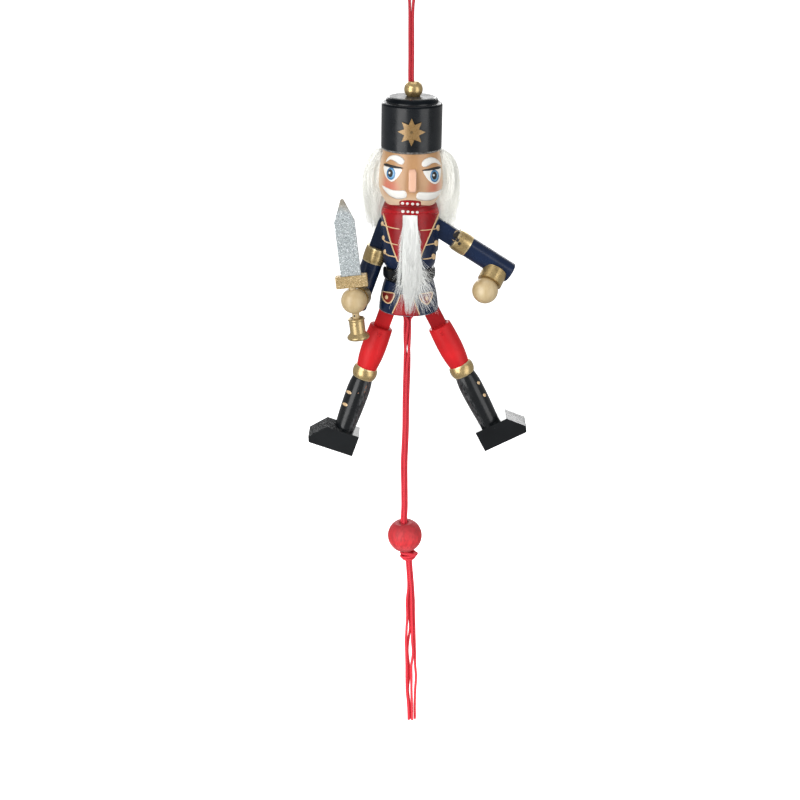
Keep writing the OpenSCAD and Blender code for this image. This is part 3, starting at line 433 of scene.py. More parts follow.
def meet(surface, u, v):
    """Where the ray of a pixel meets a surface, and the outward normal there."""
    aim = (LOOK + RIGHT * (u - CENTRE_PX[0]) / FOCAL_PX - UP * (v - CENTRE_PX[1]) / FOCAL_PX).normalized()
    place, normal, _, _ = tree_of(surface).ray_cast(EYE, aim)
    if place is None:
        # past the outline: the nearest place to the ray where it passes the node
        passing = EYE + aim * (middle_of(nodes_of(surface)[0]) - EYE).dot(aim)
        place, normal, _, _ = tree_of(surface).find_nearest(passing)
    return place, normal


def around(angle, r, z):
    """A point at an angle from the front (-Y) round to the viewer's right, r and z in millimetres."""
    a = radians(angle)
    return Vector((r * sin(a), -r * cos(a), z)) * MM


# a radius outside every turned node, in millimetres
OUTSIDE = 40


def radius_at(surface, angle, z):
    """Radius in millimetres of a turned node at an angle and height."""
    far = around(angle, OUTSIDE, z)
    place, _, _, _ = tree_of(surface).ray_cast(far, Vector((-far.x, -far.y, 0)).normalized())
    return Vector((place.x, place.y)).length / MM if place else 0.0


# Heights are in millimetres off the surface; the rim of each coat of paint lies this deep in it
SINK = 0.02
ROUND_END = (0.35, 0.8)
STROKE_ACROSS = 6
PATCH_SHARES = (1.0, 0.94, 0.8, 0.55, 0.25)
PANEL_ACROSS, PANEL_STEPS, PANEL_HEIGHT = 24, 8, 0.12


def raised(surface, u, v, height):
    """The point above a pixel's place on a surface."""
    place, normal = meet(surface, u, v)
    return place + normal * (height - SINK) * MM


def lay_on(name, surface, rings, paint):
    shell = Shell()
    shell.loft(rings)
    return shell.build(name, BODY[nodes_of(surface)[0]], paint)


def stroke(name, surface, path, width, paint, height, steps=5):
    """A raised brush stroke with round ends; its width is one value or one for each point."""
    widths = width if isinstance(width, list) else [width] * len(path)
    line = smooth([(*p, w) for p, w in zip(path, widths)], steps)
    rings = []
    last = len(line) - 1
    for i, point in enumerate(line):
        a, b = line[max(i - 1, 0)], line[min(i + 1, last)]
        along = Vector((b.x - a.x, b.y - a.y)).normalized()
        side = Vector((-along.y, along.x)) * max(point.z, 0.3) / 2
        full = (*ROUND_END, 1.0)[min(i, last - i, 2)]
        ring = []
        for k in range(STROKE_ACROSS + 1):
            t = 2 * k / STROKE_ACROSS - 1
            spot = point.xy + side * t * full
            ring.append(raised(surface, spot.x, spot.y, height * full * (1 - t ** 4)))
        rings.append(ring)
    return lay_on(name, surface, rings, paint)


def patch(name, surface, centre, outline, paint, height, lift=0.0, steps=5):
    """A raised blob of paint inside an outline of pixels round a centre."""
    edge = smooth(outline, steps, closed=True)
    middle = Vector(centre)
    rings = []
    for share in PATCH_SHARES:
        rise = lift + height * (1 - share ** 6)
        rings.append([raised(surface, *(middle + (p - middle) * share), rise) for p in edge])
    return lay_on(name, surface, rings, paint)


def dot(name, surface, centre, half, paint, height, lift=0.0, count=12, turn=0.0):
    """An oval patch; half its width and height are in pixels, its turn in degrees."""
    c, s = cos(radians(turn)), sin(radians(turn))
    outline = []
    for i in range(count):
        x, y = half[0] * cos(tau * i / count), half[1] * sin(tau * i / count)
        outline.append((centre[0] + c * x - s * y, centre[1] + s * x + c * y))
    return patch(name, surface, centre, outline, paint, height, lift)


def panel(name, surface, left, right, paint):
    """A flat coat of paint between two lines of pixels with as many points."""
    rings = []
    for p, q in zip(smooth(left, PANEL_STEPS), smooth(right, PANEL_STEPS)):
        ring = []
        for k in range(PANEL_ACROSS + 1):
            height = PANEL_HEIGHT + SINK if 0 < k < PANEL_ACROSS else 0.0
            ring.append(raised(surface, *p.lerp(q, k / PANEL_ACROSS), height))
        rings.append(ring)
    return lay_on(name, surface, rings, paint)


# Cords: the routes of part.scad, in millimetres

CORD_D = 1.0 * MM
CORD_FUZZ = 0.02 * MM
CORD_STEPS = 5
# half the loop's width, its height and the x of its middle; then its top
LOOP_SIDE = [(0.52, -47.5, 0), (0.52, -42, 0), (0.52, -36, -0.45), (0.52, -28, -0.55), (0.52, -20, -0.7),
             (0.52, -13, -0.8), (0.8, -8.5, -0.75), (1.6, -5.5, -0.5), (2.2, -3.2, -0.2), (2.2, -1.3, 0),
             (1.4, 0.1, 0)]
LOOP_TOP = (0, 0, 0.5)
# the bundle's x and z, the strings' distance from its middle and its turn
BUNDLE = [(-0.3, -122, 0.95, 45), (-0.3, -127, 0.92, 40), (-0.25, -133.5, 0.95, 0), (-0.2, -140, 0.8, -40),
          (-0.35, -153, 0.75, -45), (-0.3, -165, 0.75, -50), (-0.6, -178, 0.78, -40), (-0.4, -187, 0.75, -45),
          (-0.2, -196, 0.75, -50), (-0.35, -202.5, 0.75, -45), (0.1, -208.2, 0.75, -45),
          (0.7, -213.7, 0.75, -45), (1.7, -217.9, 0.75, -45), (2, -221, 0.75, -45), (2.68, -229.3, 0.84, -40)]
# height, then x of each of the four ends below the knot
TAIL = [(-235.8, 1.35, 2.22, 3.1, 3.97), (-242.3, 1.58, 2.45, 3.31, 4.18), (-248, 1.42, 2.8, 3.6, 4.42),
        (-253.2, 1.28, 2.2, 3.7, 4.64), (-258.5, 1.48, 1.95, 4.1, 4.88), (-264.1, 1.67, 2.55, 3.6, 5.05),
        (-269.5, 1.78, 2.75, 3.7, 5.48), (-275.3, 1.99, 2.4, 3.8, 5.29), (-282.1, 2.64, 3.1, 4.1, 5.24),
        (-288.6, 2.93, 3.4, 4.25, 5.39)]
TAIL_DEPTH = 0.5
# each string's first points, its turn in the bundle and its place in the tail
STRINGS = {
    "arm_left": ([(-5.3, -1.9, -85.4), (-3, -1.9, -104), (-2.2, -1.9, -118.5)], 225, 1),
    "arm_right": ([(4.7, -1.9, -87.9), (2.8, -1.9, -104), (1.8, -1.9, -118.5)], 315, 3),
    "leg_left": ([(-2.2, 1.9, -114), (-1.9, 1.9, -118.5)], 135, 2),
    "leg_right": ([(1.9, 1.9, -114.8), (1.7, 1.9, -118.5)], 45, 4),
}
KNOT_STRANDS, KNOT_STEPS = 4, 30
KNOT_TURNS = 1.35
# from the side of the knot's box to the middle of its outer strands
KNOT_INSET = 0.55


def cord_curve(name, points, body, replaced, **facts):
    """A round cord along points in millimetres, as one open spline."""
    path = smooth([Vector(p) * MM for p in points], CORD_STEPS)
    data = bpy.data.curves.new(name, "CURVE")
    data.dimensions = "3D"
    line = data.splines.new("POLY")
    line.points.add(len(path) - 1)
    for point, place in zip(line.points, path):
        point.co = (*place, 1)
    data.bevel_depth = CORD_D / 2 + CORD_FUZZ
    data.bevel_resolution = 4
    data.use_fill_caps = True
    data.materials.append(RED_CORD.material)
    obj = put(name, data)
    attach(obj, body)
    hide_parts(replaced)


def knot_piece():
    """The overhand knot of the four strings under the bead: strands wound round each other."""
    low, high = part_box("pull_knot")
    centre = (low + high) / 2
    wide, _, tall = (side / MM - KNOT_INSET for side in (high - low) / 2)
    shell = Shell()
    for k in range(KNOT_STRANDS):
        level = (k - 1.5) / 1.5
        path = []
        for i in range(KNOT_STEPS + 1):
            a = tau * (KNOT_TURNS * i / KNOT_STEPS + k / KNOT_STRANDS)
            r = wide * (0.74 + 0.26 * cos(1.35 * level) + 0.12 * sin(2 * a + k))
            z = tall * (0.72 * level + 0.28 * sin(a + 1.7 * k))
            path.append(centre + Vector((r * cos(a), r * 0.92 * sin(a), z)) * MM)
        shell.loft(tube_rings(smooth(path, 3), CORD_D / 2, 10))
    obj = shell.build("pull_knot_wound", "pull", RED_CORD)
    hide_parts("pull_knot")
    return obj


def make_cords():
    left = [(middle - half, 0, z) for half, z, middle in LOOP_SIDE]
    right = [(middle + half, 0, z) for half, z, middle in reversed(LOOP_SIDE)]
    loop = [*left, LOOP_TOP, *right]
    cord_curve("hanging_cord", loop, "torso", "hanging_loop", far_end="object", lay="taut")
    knot = knot_piece()
    for name, (start, turn, place) in STRINGS.items():
        route = list(start)
        for x, z, r, twist in BUNDLE:
            a = radians(turn + twist)
            route.append((x + r * cos(a), r * sin(a), z))
        for row in TAIL:
            route.append((row[place], -TAIL_DEPTH if place % 2 else TAIL_DEPTH, row[0]))
        cord_curve(f"cord_{name}", route, "pull", f"pull_string_{name}", far_end="bare", lay="taut",
                   with_pieces=[node["pull_bead"], knot])


make_cords()


# Finishes of single nodes

BLUSH_PX = [(385.5, 184.5), (392, 187.5), (440, 186), (433.5, 188.5)]
BLUSH_R = 3.9 * MM
JAW_PX = (411, 204.6)
JAW_TILT = radians(17)
# the jaw's red is darkened to this share as painted shade under the chin
JAW_PAINTED_SHADE = 0.5
COLLAR_Z = -82.9 * MM


def blade_paint():
    """Silver glitter, tarnished brown at the point."""
    p = glitter("blade_glitter", (0.235, 0.27, 0.28), (0.51, 0.555, 0.57), (0.9, 0.93, 0.94))
    _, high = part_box("sword_blade")
    edge = p.math("ADD", p.along("Z"), p.times(p.noise(500, 3), 3 * MM))
    p.cover(p.level(edge, high.z - 3.4 * MM, high.z + 0.4 * MM, 0.0, 0.8), (0.3, 0.25, 0.18))
    return p


def head_paint():
    """Skin, blushed on the cheeks, paler low down and at the sides; the jaw is red below a line, darkened by
    painted shade.
    """
    p = Paint("head_paint", SKIN, 0.4, Coat_Weight=0.35, Coat_Roughness=0.25)
    grain = p.noise(240, 5, p.drawn_out(0.12))
    color = p.mix(p.level(grain, 0.3, 0.7), SKIN, scaled(SKIN, 0.86))
    for px in BLUSH_PX:
        centre, _ = meet("head", *px)
        color = p.mix(p.level(p.away_from(centre), BLUSH_R * 0.2, BLUSH_R, 0.6, 0.0), color, BLUSH)
    jaw, _ = meet("head", *JAW_PX)
    color = p.mix(p.level(p.along("Z"), jaw.z + 5 * MM, jaw.z + 1 * MM, 0.0, 0.75), color, PEACH)
    side = p.level(p.math("ABSOLUTE", p.along("X")), 8.6 * MM, 10.7 * MM, 0.0, 0.6)
    color = p.mix(side, color, PEACH)
    below = p.past_plane(jaw, (0, sin(JAW_TILT), cos(JAW_TILT)))
    wobble = p.times(p.math("SUBTRACT", p.noise(300, 2), 0.5), 0.6 * MM)
    red = p.level(p.math("ADD", below, wobble), 0.08 * MM, -0.08 * MM)
    # painted shade: the jaw's red is darker than the vest's
    p.set("Base Color", p.mix(red, color, scaled(VEST_RED, JAW_PAINTED_SHADE)))
    p.set("Roughness", p.level(p.noise(300, 4), 0.3, 0.7, 0.3, 0.48))
    p.bump(p.noise(900, 4, p.drawn_out(0.2)), 0.03 * MM, 0.5)
    return p


def chest_paint():
    """Gloss navy, red from the collar up."""
    p = navy_paint("coat_paint")
    p.cover(p.level(p.along("Z"), COLLAR_Z - 0.06 * MM, COLLAR_Z + 0.06 * MM), VEST_RED)
    return p


def hat_paint():
    """Gloss black, lighter along the lower edge and on the top as rubbed wear and painted highlight, dull
    where the rims curve over.
    """
    shine, coat = 0.28, 0.1
    p = gloss_paint("hat_paint", (0.0055, 0.0075, 0.01), 0.6, (0.2, 0.4), coat, (0.13, 0.13, 0.14), shine)
    low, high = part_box("hat")
    z = p.along("Z")
    # the lower edge: rubbed wear and a painted highlight
    edge_wear_and_highlight(p, p.level(z, low.z + 1.0 * MM, low.z + 0.6 * MM), (0.3, 0.3, 0.29), 0.8)
    # the top: rubbed wear and a painted reflection of the light above
    edge_wear_and_highlight(p, p.level(z, high.z - 0.22 * MM, high.z - 0.04 * MM), (0.2, 0.2, 0.2), 0.35)
    up = p.facing_up()
    rim = p.times(p.level(up, 0.1, 0.3), p.level(up, 0.93, 0.8))
    p.set("Specular IOR Level", p.level(rim, 0, 1, shine, 0.04))
    p.set("Coat Weight", p.level(rim, 0, 1, coat, 0.0))
    return p


def skirt_paint():
    """Gloss navy, lighter along the hem."""
    p = navy_paint("skirt_paint")
    low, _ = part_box("skirt")
    edge_wear_and_highlight(p, p.level(p.along("Z"), low.z + 0.5 * MM, low.z + 0.2 * MM), (0.4, 0.42, 0.46), 0.7)
    return p


def bead_paint():
    """Matte red stain on a wooden bead, darker near the top hole, with a pale painted highlight low down on
    one side.
    """
    p = Paint("bead_paint", RED, 0.6, Coat_Weight=0.08, Coat_Roughness=0.4)
    low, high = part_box("pull_bead")
    grain = p.noise(900, 5, p.drawn_out(0.35), 0.7)
    share = p.level(p.along("Z"), low.z, high.z)
    body = p.ramp(share, [(0.0, (0.55, 0.06, 0.07)), (0.18, (0.74, 0.075, 0.085)),
                          (0.42, (0.72, 0.022, 0.03)), (0.95, (0.42, 0.016, 0.024))])
    body = p.mix(p.level(grain, 0.42, 0.62, 0.0, 0.6), body, (0.28, 0.01, 0.015))
    # painted highlight: pale pink on the lower side towards the viewer's left
    highlight_side = p.past_plane((low + high) / 2, Vector((-0.8, -0.05, -0.6)).normalized())
    reach = (high.x - low.x) / 2
    p.set("Base Color", p.mix(p.level(highlight_side, reach * 0.8, reach * 0.97, 0.0, 0.85), body, (0.95, 0.5, 0.47)))
    p.bump(grain, 0.2 * MM, 1.0, p.bump(p.noise(330, 2), 0.12 * MM, 0.5))
    return p


def ring_paint(ring, limb):
    """Gold with a pale painted highlight along both rims; the limb's next piece gives the axis."""
    p = gold_paint(f"{ring}_gold")
    centre = middle_of(ring)
    axis = (middle_of(limb) - centre).normalized()
    reach = max(abs((v.co - centre).dot(axis)) for v in node[ring].data.vertices)
    off = p.math("ABSOLUTE", p.past_plane(centre, axis))
    # painted highlight: pale gold along both rims
    edge_wear_and_highlight(p, p.level(off, reach - 0.7 * MM, reach - 0.2 * MM), (0.86, 0.72, 0.44), 0.8)
    return p


# the way to the inner side, and how far each leg leans out at rest, in degrees
BOOT_LEAN = {"left": (1, 18.5), "right": (-1, 27.7)}


def boot_paint(side):
    """Gloss black, with a streaky grey painted highlight along the inner side."""
    p = gloss_paint(f"boot_paint_{side}", BLACK, 0.6, (0.14, 0.34), 0.15, (0.1, 0.1, 0.11), 0.3)
    sign, lean = BOOT_LEAN[side]
    across = Vector((sign * cos(radians(lean)), 0, -sin(radians(lean))))
    off = p.past_plane(middle_of(f"boot_{side}"), across)
    # painted highlight: a grey band along the inner side, broken into streaks
    band = p.times(p.level(off, 0.8 * MM, 1.6 * MM), p.level(off, 3.7 * MM, 2.9 * MM))
    streak = p.level(p.noise(1300, 5, p.drawn_out(0.35), 0.7), 0.42, 0.66)
    p.cover(p.times(band, streak), (0.085, 0.088, 0.092))
    return p


def foot_paint(side):
    """Gloss black; the toe end of the left foot is matt on top, with grey speckles of painted reflection."""
    gloss = {"left": (0.14, 0.34), "right": (0.1, 0.18)}[side]
    shine, coat = 0.3, 0.1
    p = gloss_paint(f"foot_paint_{side}", BLACK, 0.6, gloss, coat, (0.12, 0.12, 0.13), shine)
    if side == "left":
        low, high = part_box("foot_left")
        length = high.x - low.x
        toe = p.level(p.along("X"), low.x + 0.62 * length, low.x + 0.55 * length)
        matt = p.times(toe, p.level(p.facing_up(), 0.25, 0.5))
        # painted reflection: grey speckles on the matt top of the toe
        reflection_speck = p.times(p.level(p.noise(1700, 5, rough=0.75), 0.5, 0.66), matt)
        p.cover(reflection_speck, (0.22, 0.225, 0.23))
        p.set("Roughness", p.level(matt, 0, 1, 0.3, 0.8))
        p.set("Coat Weight", p.level(matt, 0, 1, coat, 0.0))
        p.set("Specular IOR Level", p.level(matt, 0, 1, shine, 0.12))
    return p


SLOT_FINISH = {
    "red_cord": RED_CORD,
    "gold_paint": GOLD,
    "red_paint": RED_PAINT,
    "white_fur": HAIR_FUR,
    "navy_paint": navy_paint("navy_paint"),
    "black_paint": gloss_paint("black_paint", BLACK, 0.6, (0.2, 0.42), 0.1, (0.11, 0.11, 0.12), 0.28),
    "bare_wood": bare_wood("bare_wood", (0.53, 0.415, 0.235), (0.39, 0.275, 0.13)),
    "dark_steel": dull_metal("dark_steel", (0.1, 0.09, 0.08), 0.4),
    "brass_pin": dull_metal("brass_pin", (0.62, 0.42, 0.16), 0.3),
    "silver_glitter": blade_paint(),
    "gold_glitter": glitter("gold_glitter", (0.3, 0.2, 0.08), (0.55, 0.4, 0.2), (0.8, 0.66, 0.4)),
}
FINISH_OF = {}


def finish_node(name, paint):
    FINISH_OF[name] = paint
    slots = node[name].data.materials
    if len(slots) == 0:
        slots.append(paint.material)
    for i in range(len(slots)):
        slots[i] = paint.material


def finish_nodes():
    for row in frame["record"]["subparts"]:
        if row["material_slot"] in SLOT_FINISH:
            finish_node(row["node"], SLOT_FINISH[row["material_slot"]])
    own = {"head": head_paint(), "chest": chest_paint(), "hat": hat_paint(),
           "skirt": skirt_paint(), "hat_star": STAR_GOLD, "star_tack": TACK, "sword_grip": GRIP_GOLD,
           "pull_bead": bead_paint(), "elbow_pin_left": GOLD, "leg_tab_right": SHADED_TAB_RED}
    for side in SIDES:
        own[f"boot_{side}"] = boot_paint(side)
        own[f"foot_{side}"] = foot_paint(side)
        own[f"knee_ring_{side}"] = ring_paint(f"knee_ring_{side}", f"boot_{side}")
        own[f"sleeve_ring_{side}"] = ring_paint(f"sleeve_ring_{side}", f"forearm_{side}")
        own[f"thigh_pin_{side}"] = RED_PAINT
    for name, paint in own.items():
        finish_node(name, paint)


# the heights where the red band meets the head and the chest, in millimetres
BAND_TOP, BAND_LOW = -78.5, -80.3
BAND_STEPS, BAND_SIDES = 8, 72
BAND_BULGE, BAND_TUCK = 0.1, 0.06


def neck_ring():
    """A band of red paint that closes the seam between the jaw and the collar, darker as painted shade under
    the chin.
    """
    rings = []
    for i in range(BAND_STEPS + 1):
        t = i / BAND_STEPS
        z = BAND_TOP + (BAND_LOW - BAND_TOP) * t
        off = BAND_BULGE * sin(pi * t) - (BAND_TUCK if i in (0, BAND_STEPS) else 0)
        ring = []
        for k in range(BAND_SIDES):
            a = 360 / BAND_SIDES * k
            r = (1 - t) * radius_at("head", a, BAND_TOP) + t * radius_at("chest", a, BAND_LOW)
            ring.append(around(a, r + off, z))
        rings.append(ring)
    # its darker red is painted shade
    lay_on("neck_ring", "head", rings, SHADED_COLLAR_PAINT)


# Sawn pieces get copies with their edges rounded over

MERGE = 0.002 * MM
FLAT = radians(1)
SHARP = radians(25)


def softened(name, width, edge=None):
    """The node's own shape with rounded edges, which may have a finish of their own."""
    mesh = node[name].data.copy()
    made = bmesh.new()
    made.from_mesh(mesh)
    bmesh.ops.remove_doubles(made, verts=made.verts, dist=MERGE)
    bmesh.ops.dissolve_limit(made, angle_limit=FLAT, verts=made.verts, edges=made.edges)
    sharp = [e for e in made.edges if len(e.link_faces) == 2 and e.calc_face_angle(0) > SHARP]
    bmesh.ops.bevel(made, geom=sharp, offset=width * MM, segments=3, profile=0.6, affect="EDGES",
                    material=1 if edge else -1, clamp_overlap=True)
    made.to_mesh(mesh)
    made.free()
    mesh.materials.clear()
    for paint in (FINISH_OF[name], edge) if edge else (FINISH_OF[name],):
        mesh.materials.append(paint.material)
    obj = put(f"{name}_worn", mesh)
    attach(obj, BODY[name])
    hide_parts(name)


def soften_nodes():
    """Rounds the sawn pieces over; widths in millimetres."""
    black = gloss_paint("rubbed_black", (0.022, 0.023, 0.025), 0.5, (0.2, 0.4), 0.1, (0.3, 0.29, 0.27), 0.4)
    navy = gloss_paint("rubbed_navy", (0.02, 0.032, 0.075), 0.5, (0.2, 0.4), 0.1, (0.22, 0.24, 0.28), 0.4)
    red = gloss_paint("rubbed_red", (0.5, 0.01, 0.013), 0.6, (0.3, 0.5), 0.1, (0.62, 0.1, 0.09), 0.3)
    for side in SIDES:
        softened(f"foot_{side}", 0.28, black)
        softened(f"arm_tab_{side}", 0.15, navy)
        softened(f"leg_tab_{side}", 0.15, red)
    softened("sword_guard", 0.3)
    softened("sword_blade", 0.2)


finish_nodes()
neck_ring()
soften_nodes()


# The face; all places on it are pixels of the photograph

# the nose in millimetres
NOSE_WIDTH = 2.7
NOSE_BACK = 10.0
NOSE_BRIDGE, NOSE_RISE = 11.55, 2.3
NOSE_ROUND = 0.45
NOSE_SHIFT = 0.3
NOSE_TURN = radians(1.5)
NOSE_LEVELS, NOSE_CORNER = 14, 5

BROWS = {
    "left": ([(386, 161.8), (390, 158), (395.5, 158), (400.5, 161), (403, 164)], [1, 3.8, 7, 7.8, 4.4]),
    "right": ([(440.8, 165), (436.5, 161.2), (431, 160.4), (425.8, 163.2), (422.2, 166)],
              [1, 4, 7.2, 7.8, 4.2]),
}
EYE_WHITES = {
    "left": ((392.6, 172), [
        (384, 165.5), (393, 167), (402, 169.2), (400, 174.5), (396, 179.5), (391.3, 182), (386.3, 178),
        (383.8, 171)]),
    "right": ((432.5, 175), [
        (423.2, 170.8), (431, 169.3), (440.8, 168.2), (441.1, 174), (439.5, 181.3), (435, 184.4),
        (429.5, 181.4), (425.2, 176.2)]),
}
IRIS_PX = {"left": (391.2, 173.6), "right": (434.4, 176)}
# piece, shift from the iris, half width and height, paint, height, lift, points
EYE_PARTS = [
    ("iris", (0, 0), (4.5, 6.2), IRIS, 0.1, 0.1, 20),
    ("iris_light", (0, 0), (3.3, 4.7), IRIS_LIGHT, 0.06, 0.19, 20),
    ("pupil", (-0.5, -0.4), (2.5, 4.0), LID_PAINT, 0.06, 0.24, 20),
    ("eye_light", (-1.2, -0.8), (0.9, 1.1), WHITE_PAINT, 0.05, 0.3, 10),
]
LIDS = {
    "left": ([(383.8, 164), (390, 166), (396, 167.3), (403.5, 168.2)], [3.4, 3.2, 2.6, 1.3]),
    "right": ([(422, 170.4), (429, 169.6), (435, 168.4), (440.8, 167.2)], [1.3, 2.4, 3.0, 3.2]),
}
WHISKERS = {
    "left": ([(382, 185.4), (386.4, 189.6), (392, 193.3), (398, 194.8), (403.5, 194.4), (406.8, 193.8)],
             [0.8, 4.2, 7.4, 9, 8.8, 6.4]),
    "right": ([(442.8, 188.6), (438, 193.2), (432.5, 195.8), (426.5, 196.6), (420.2, 196), (416.4, 195.2)],
              [0.8, 4.6, 7.8, 9, 8.8, 6.6]),
}
LIPS_PX, MOUTH_PX = (410, 203.2), (410, 203.1)
LIPS = [(400.2, 200.6), (410, 199.8), (420.2, 201), (421.4, 203.5), (419.8, 206.6), (410, 206.4),
        (400.6, 206), (398.9, 203.2)]
# the mouth's width and height as shares of the lips'
MOUTH_SHARES = (0.93, 0.74)
# place and half width of each tooth; its height is a share of its width
TEETH = [(402.6, 203.2, 1.7), (407.4, 203.4, 1.55), (412.6, 203.8, 1.6), (417.6, 204, 1.6),
         (403, 211.5, 1.75), (408, 211.7, 1.5), (412.6, 212.3, 1.5), (417.2, 212.4, 1.5)]
TOOTH_SHARE = 0.85


def make_nose():
    """A glued block nose with soft edges, standing where the CAD nose stands."""
    low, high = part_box("nose")
    turn = Matrix.Rotation(NOSE_TURN, 4, "Z")
    rings = []
    for i in range(NOSE_LEVELS + 1):
        t = i / NOSE_LEVELS
        z = low.z + (high.z - low.z) * t
        soft = (0.72, 0.93, 1.0)[min(i, NOSE_LEVELS - i, 2)]
        half = NOSE_WIDTH / 2 * soft
        out = NOSE_BRIDGE + NOSE_RISE * (1 - t) ** 0.9
        front = NOSE_BACK + (out - NOSE_BACK) * (soft if t > 0.5 else 1 - (1 - soft) * 0.8)
        r = min(NOSE_ROUND, half * 0.8)
        ring = []
        for corner, (right, forward) in enumerate(((1, 1), (-1, 1), (-1, -1), (1, -1))):
            y = front if forward > 0 else NOSE_BACK
            for k in range(NOSE_CORNER):
                a = pi / 2 * (corner + k / (NOSE_CORNER - 1))
                x = right * (half - r) + r * cos(a) + NOSE_SHIFT
                ring.append(turn @ Vector((x * MM, -(y - forward * r + r * sin(a)) * MM, z)))
        rings.append(ring[::-1])
    obj = lay_on("nose_block", "head", rings, NOSE_PAINT)
    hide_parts("nose")


def make_eyes():
    for side, (path, widths) in BROWS.items():
        stroke(f"brow_{side}", "head", path, widths, WHITE_PAINT, 0.22)
    for side, (centre, outline) in EYE_WHITES.items():
        patch(f"eye_white_{side}", "head", centre, outline, WHITE_PAINT, 0.12)
    for side, (x, y) in IRIS_PX.items():
        for piece, shift, half, paint, height, lift, count in EYE_PARTS:
            dot(f"{piece}_{side}", "head", (x + shift[0], y + shift[1]), half, paint, height, lift, count)
    for side, (path, widths) in LIDS.items():
        stroke(f"lid_{side}", "head", path, widths, LID_PAINT, 0.2)


def make_mouth():
    for side, (path, widths) in WHISKERS.items():
        stroke(f"whisker_{side}", "head", path, widths, WHITE_PAINT, 0.25)
    patch("mouth_edge", "jaw", LIPS_PX, LIPS, DARK_RED, 0.1, steps=4)
    (x0, y0), (wide, tall) = MOUTH_PX, MOUTH_SHARES
    inner = [(x0 + (x - x0) * wide, y0 + (y - y0) * tall) for x, y in LIPS]
    patch("mouth", "jaw", MOUTH_PX, inner, VEST_PAINT, 0.1, lift=0.06, steps=4)
    for i, (x, y, r) in enumerate(TEETH):
        dot(f"tooth_{i + 1}", "jaw", (x, y), (r, r * TOOTH_SHARE), WHITE_PAINT, 0.14, 0.14)


make_nose()
make_eyes()
make_mouth()


# The coat, the boots and the chips in the paint; all places are pixels of the photograph

COAT_OPENING = {
    "left": [(383.2, 213.4), (386.3, 225.4), (390.6, 241.7), (396.8, 258.9), (398.8, 262)],
    "right": [(438.9, 213.4), (436.2, 220.6), (430.6, 233), (423.2, 250.2), (419, 262)],
}
SKIRT_OPENING = {
    "left": [(401.1, 294.3), (398, 301.4), (394.8, 308), (391.4, 315)],
    "right": [(412.6, 295), (414.6, 302), (417.2, 309), (420.3, 316.2)],
}
# the button and the braid of each frog
FROGS = {
    "left_1": ((382.4, 223.6), [(382, 223.8), (385.8, 225.9), (393, 227.9), (401, 229.3)]),
    "left_2": ((383.4, 237.8), [(383.2, 238.2), (385.4, 241.4), (392, 243.6), (399.5, 245.3)]),
    "left_3": ((384.8, 251.8), [(384.6, 252.3), (387.8, 255.1), (393, 256.4), (398, 257.4)]),
    "right_1": ((438.3, 227.8), [(438, 228.3), (434, 229), (427, 229.9), (419, 230.4)]),
    "right_2": ((436.3, 243.1), [(436, 243.3), (433, 243.8), (429, 244.6), (424.5, 245.4)]),
    "right_3": ((433.7, 256.5), [(433.4, 257), (430.8, 258), (427.4, 258.7), (422.5, 259.1)]),
}
BUTTON_HALF = {"left": (1.3, 2.5), "right": (2.1, 3.1)}
BRAID_PX, FROG_PX, POCKET_EDGE_PX, FLAKE_PX = 1.5, 1.3, 1.4, 1.2
# centre, button and outline of each pocket
POCKETS = {
    "left": ((388, 297), (386.6, 297.3), [
        (382, 291.2), (388, 292.4), (394.2, 293.6), (393, 299), (389.5, 303), (385.5, 302), (382.6, 297.5)]),
    "right": ((426, 298), (426.8, 298.4), [
        (418.8, 293.8), (425.5, 293.4), (432, 292.2), (431.3, 298.5), (427.5, 304.2), (423, 302.2),
        (420, 298.5)]),
}
POCKET_BUTTON_HALF = (1.6, 2.2)
# place, half size and turn of the marks and the chips on the boots
BOOT_MARKS = {
    "left_1": ((348.8, 392.2), (2.9, 1.6), 28), "left_2": ((345, 404.4), (2.9, 1.6), 28),
    "right_1": ((478.6, 382.8), (1.4, 1.7), -30), "right_2": ((484.5, 395.1), (1.4, 1.8), -30),
}
BOOT_CHIPS = [
    ("boot_left", (366, 387), (0.8, 2.4), 25), ("boot_left", (358.3, 393.2), (0.8, 0.8), 0),
    ("boot_left", (364.6, 392), (0.6, 1.6), 25), ("boot_right", (458.6, 392.3), (0.8, 1.2), -30),
]
# the paint is chipped round the pin of the raised arm
PIN_CHIPS = {
    "arm_tab_right": ((456.4, 234.6), [
        (453, 237), (453.4, 233.4), (456, 233.6), (456.4, 231), (459.8, 231.8), (460.4, 234.4),
        (457.6, 237.6)]),
    "sleeve_ring_right": ((457.6, 239.2), [
        (455.2, 238.2), (457.4, 236.6), (459.8, 238.8), (458, 242.2), (455.6, 240.8)]),
}
FLAKES = [
    [(454.2, 233.4), (456.4, 231), (458.8, 230.8)],
    [(460, 233.8), (461.6, 235.4), (461.2, 237)],
    [(452.2, 239.4), (454, 240.6), (455.6, 242), (458.2, 242.4)],
    [(457.4, 237.4), (458.6, 238.4), (458.8, 239.6)],
]
THIGH_PIN_PX = {"left": (379.2, 335), "right": (441.7, 333.8)}
THIGH_PIN_HALF = (2.2, 2.4)
TANG_NICK_PX, TANG_NICK_HALF = (354.5, 316), (0.9, 1.0)


def make_coat_front():
    panel("vest", "chest", *COAT_OPENING.values(), VEST_PAINT)
    for side, line in COAT_OPENING.items():
        stroke(f"braid_v_{side}", "chest", line, BRAID_PX, BRAID, 0.2)
    for name, (_, path) in FROGS.items():
        stroke(f"frog_{name}", "chest", path, FROG_PX, BRAID, 0.2)
    for name, (spot, _) in FROGS.items():
        dot(f"button_{name}", "chest", spot, BUTTON_HALF[name.split("_")[0]], BRAID, 0.28)


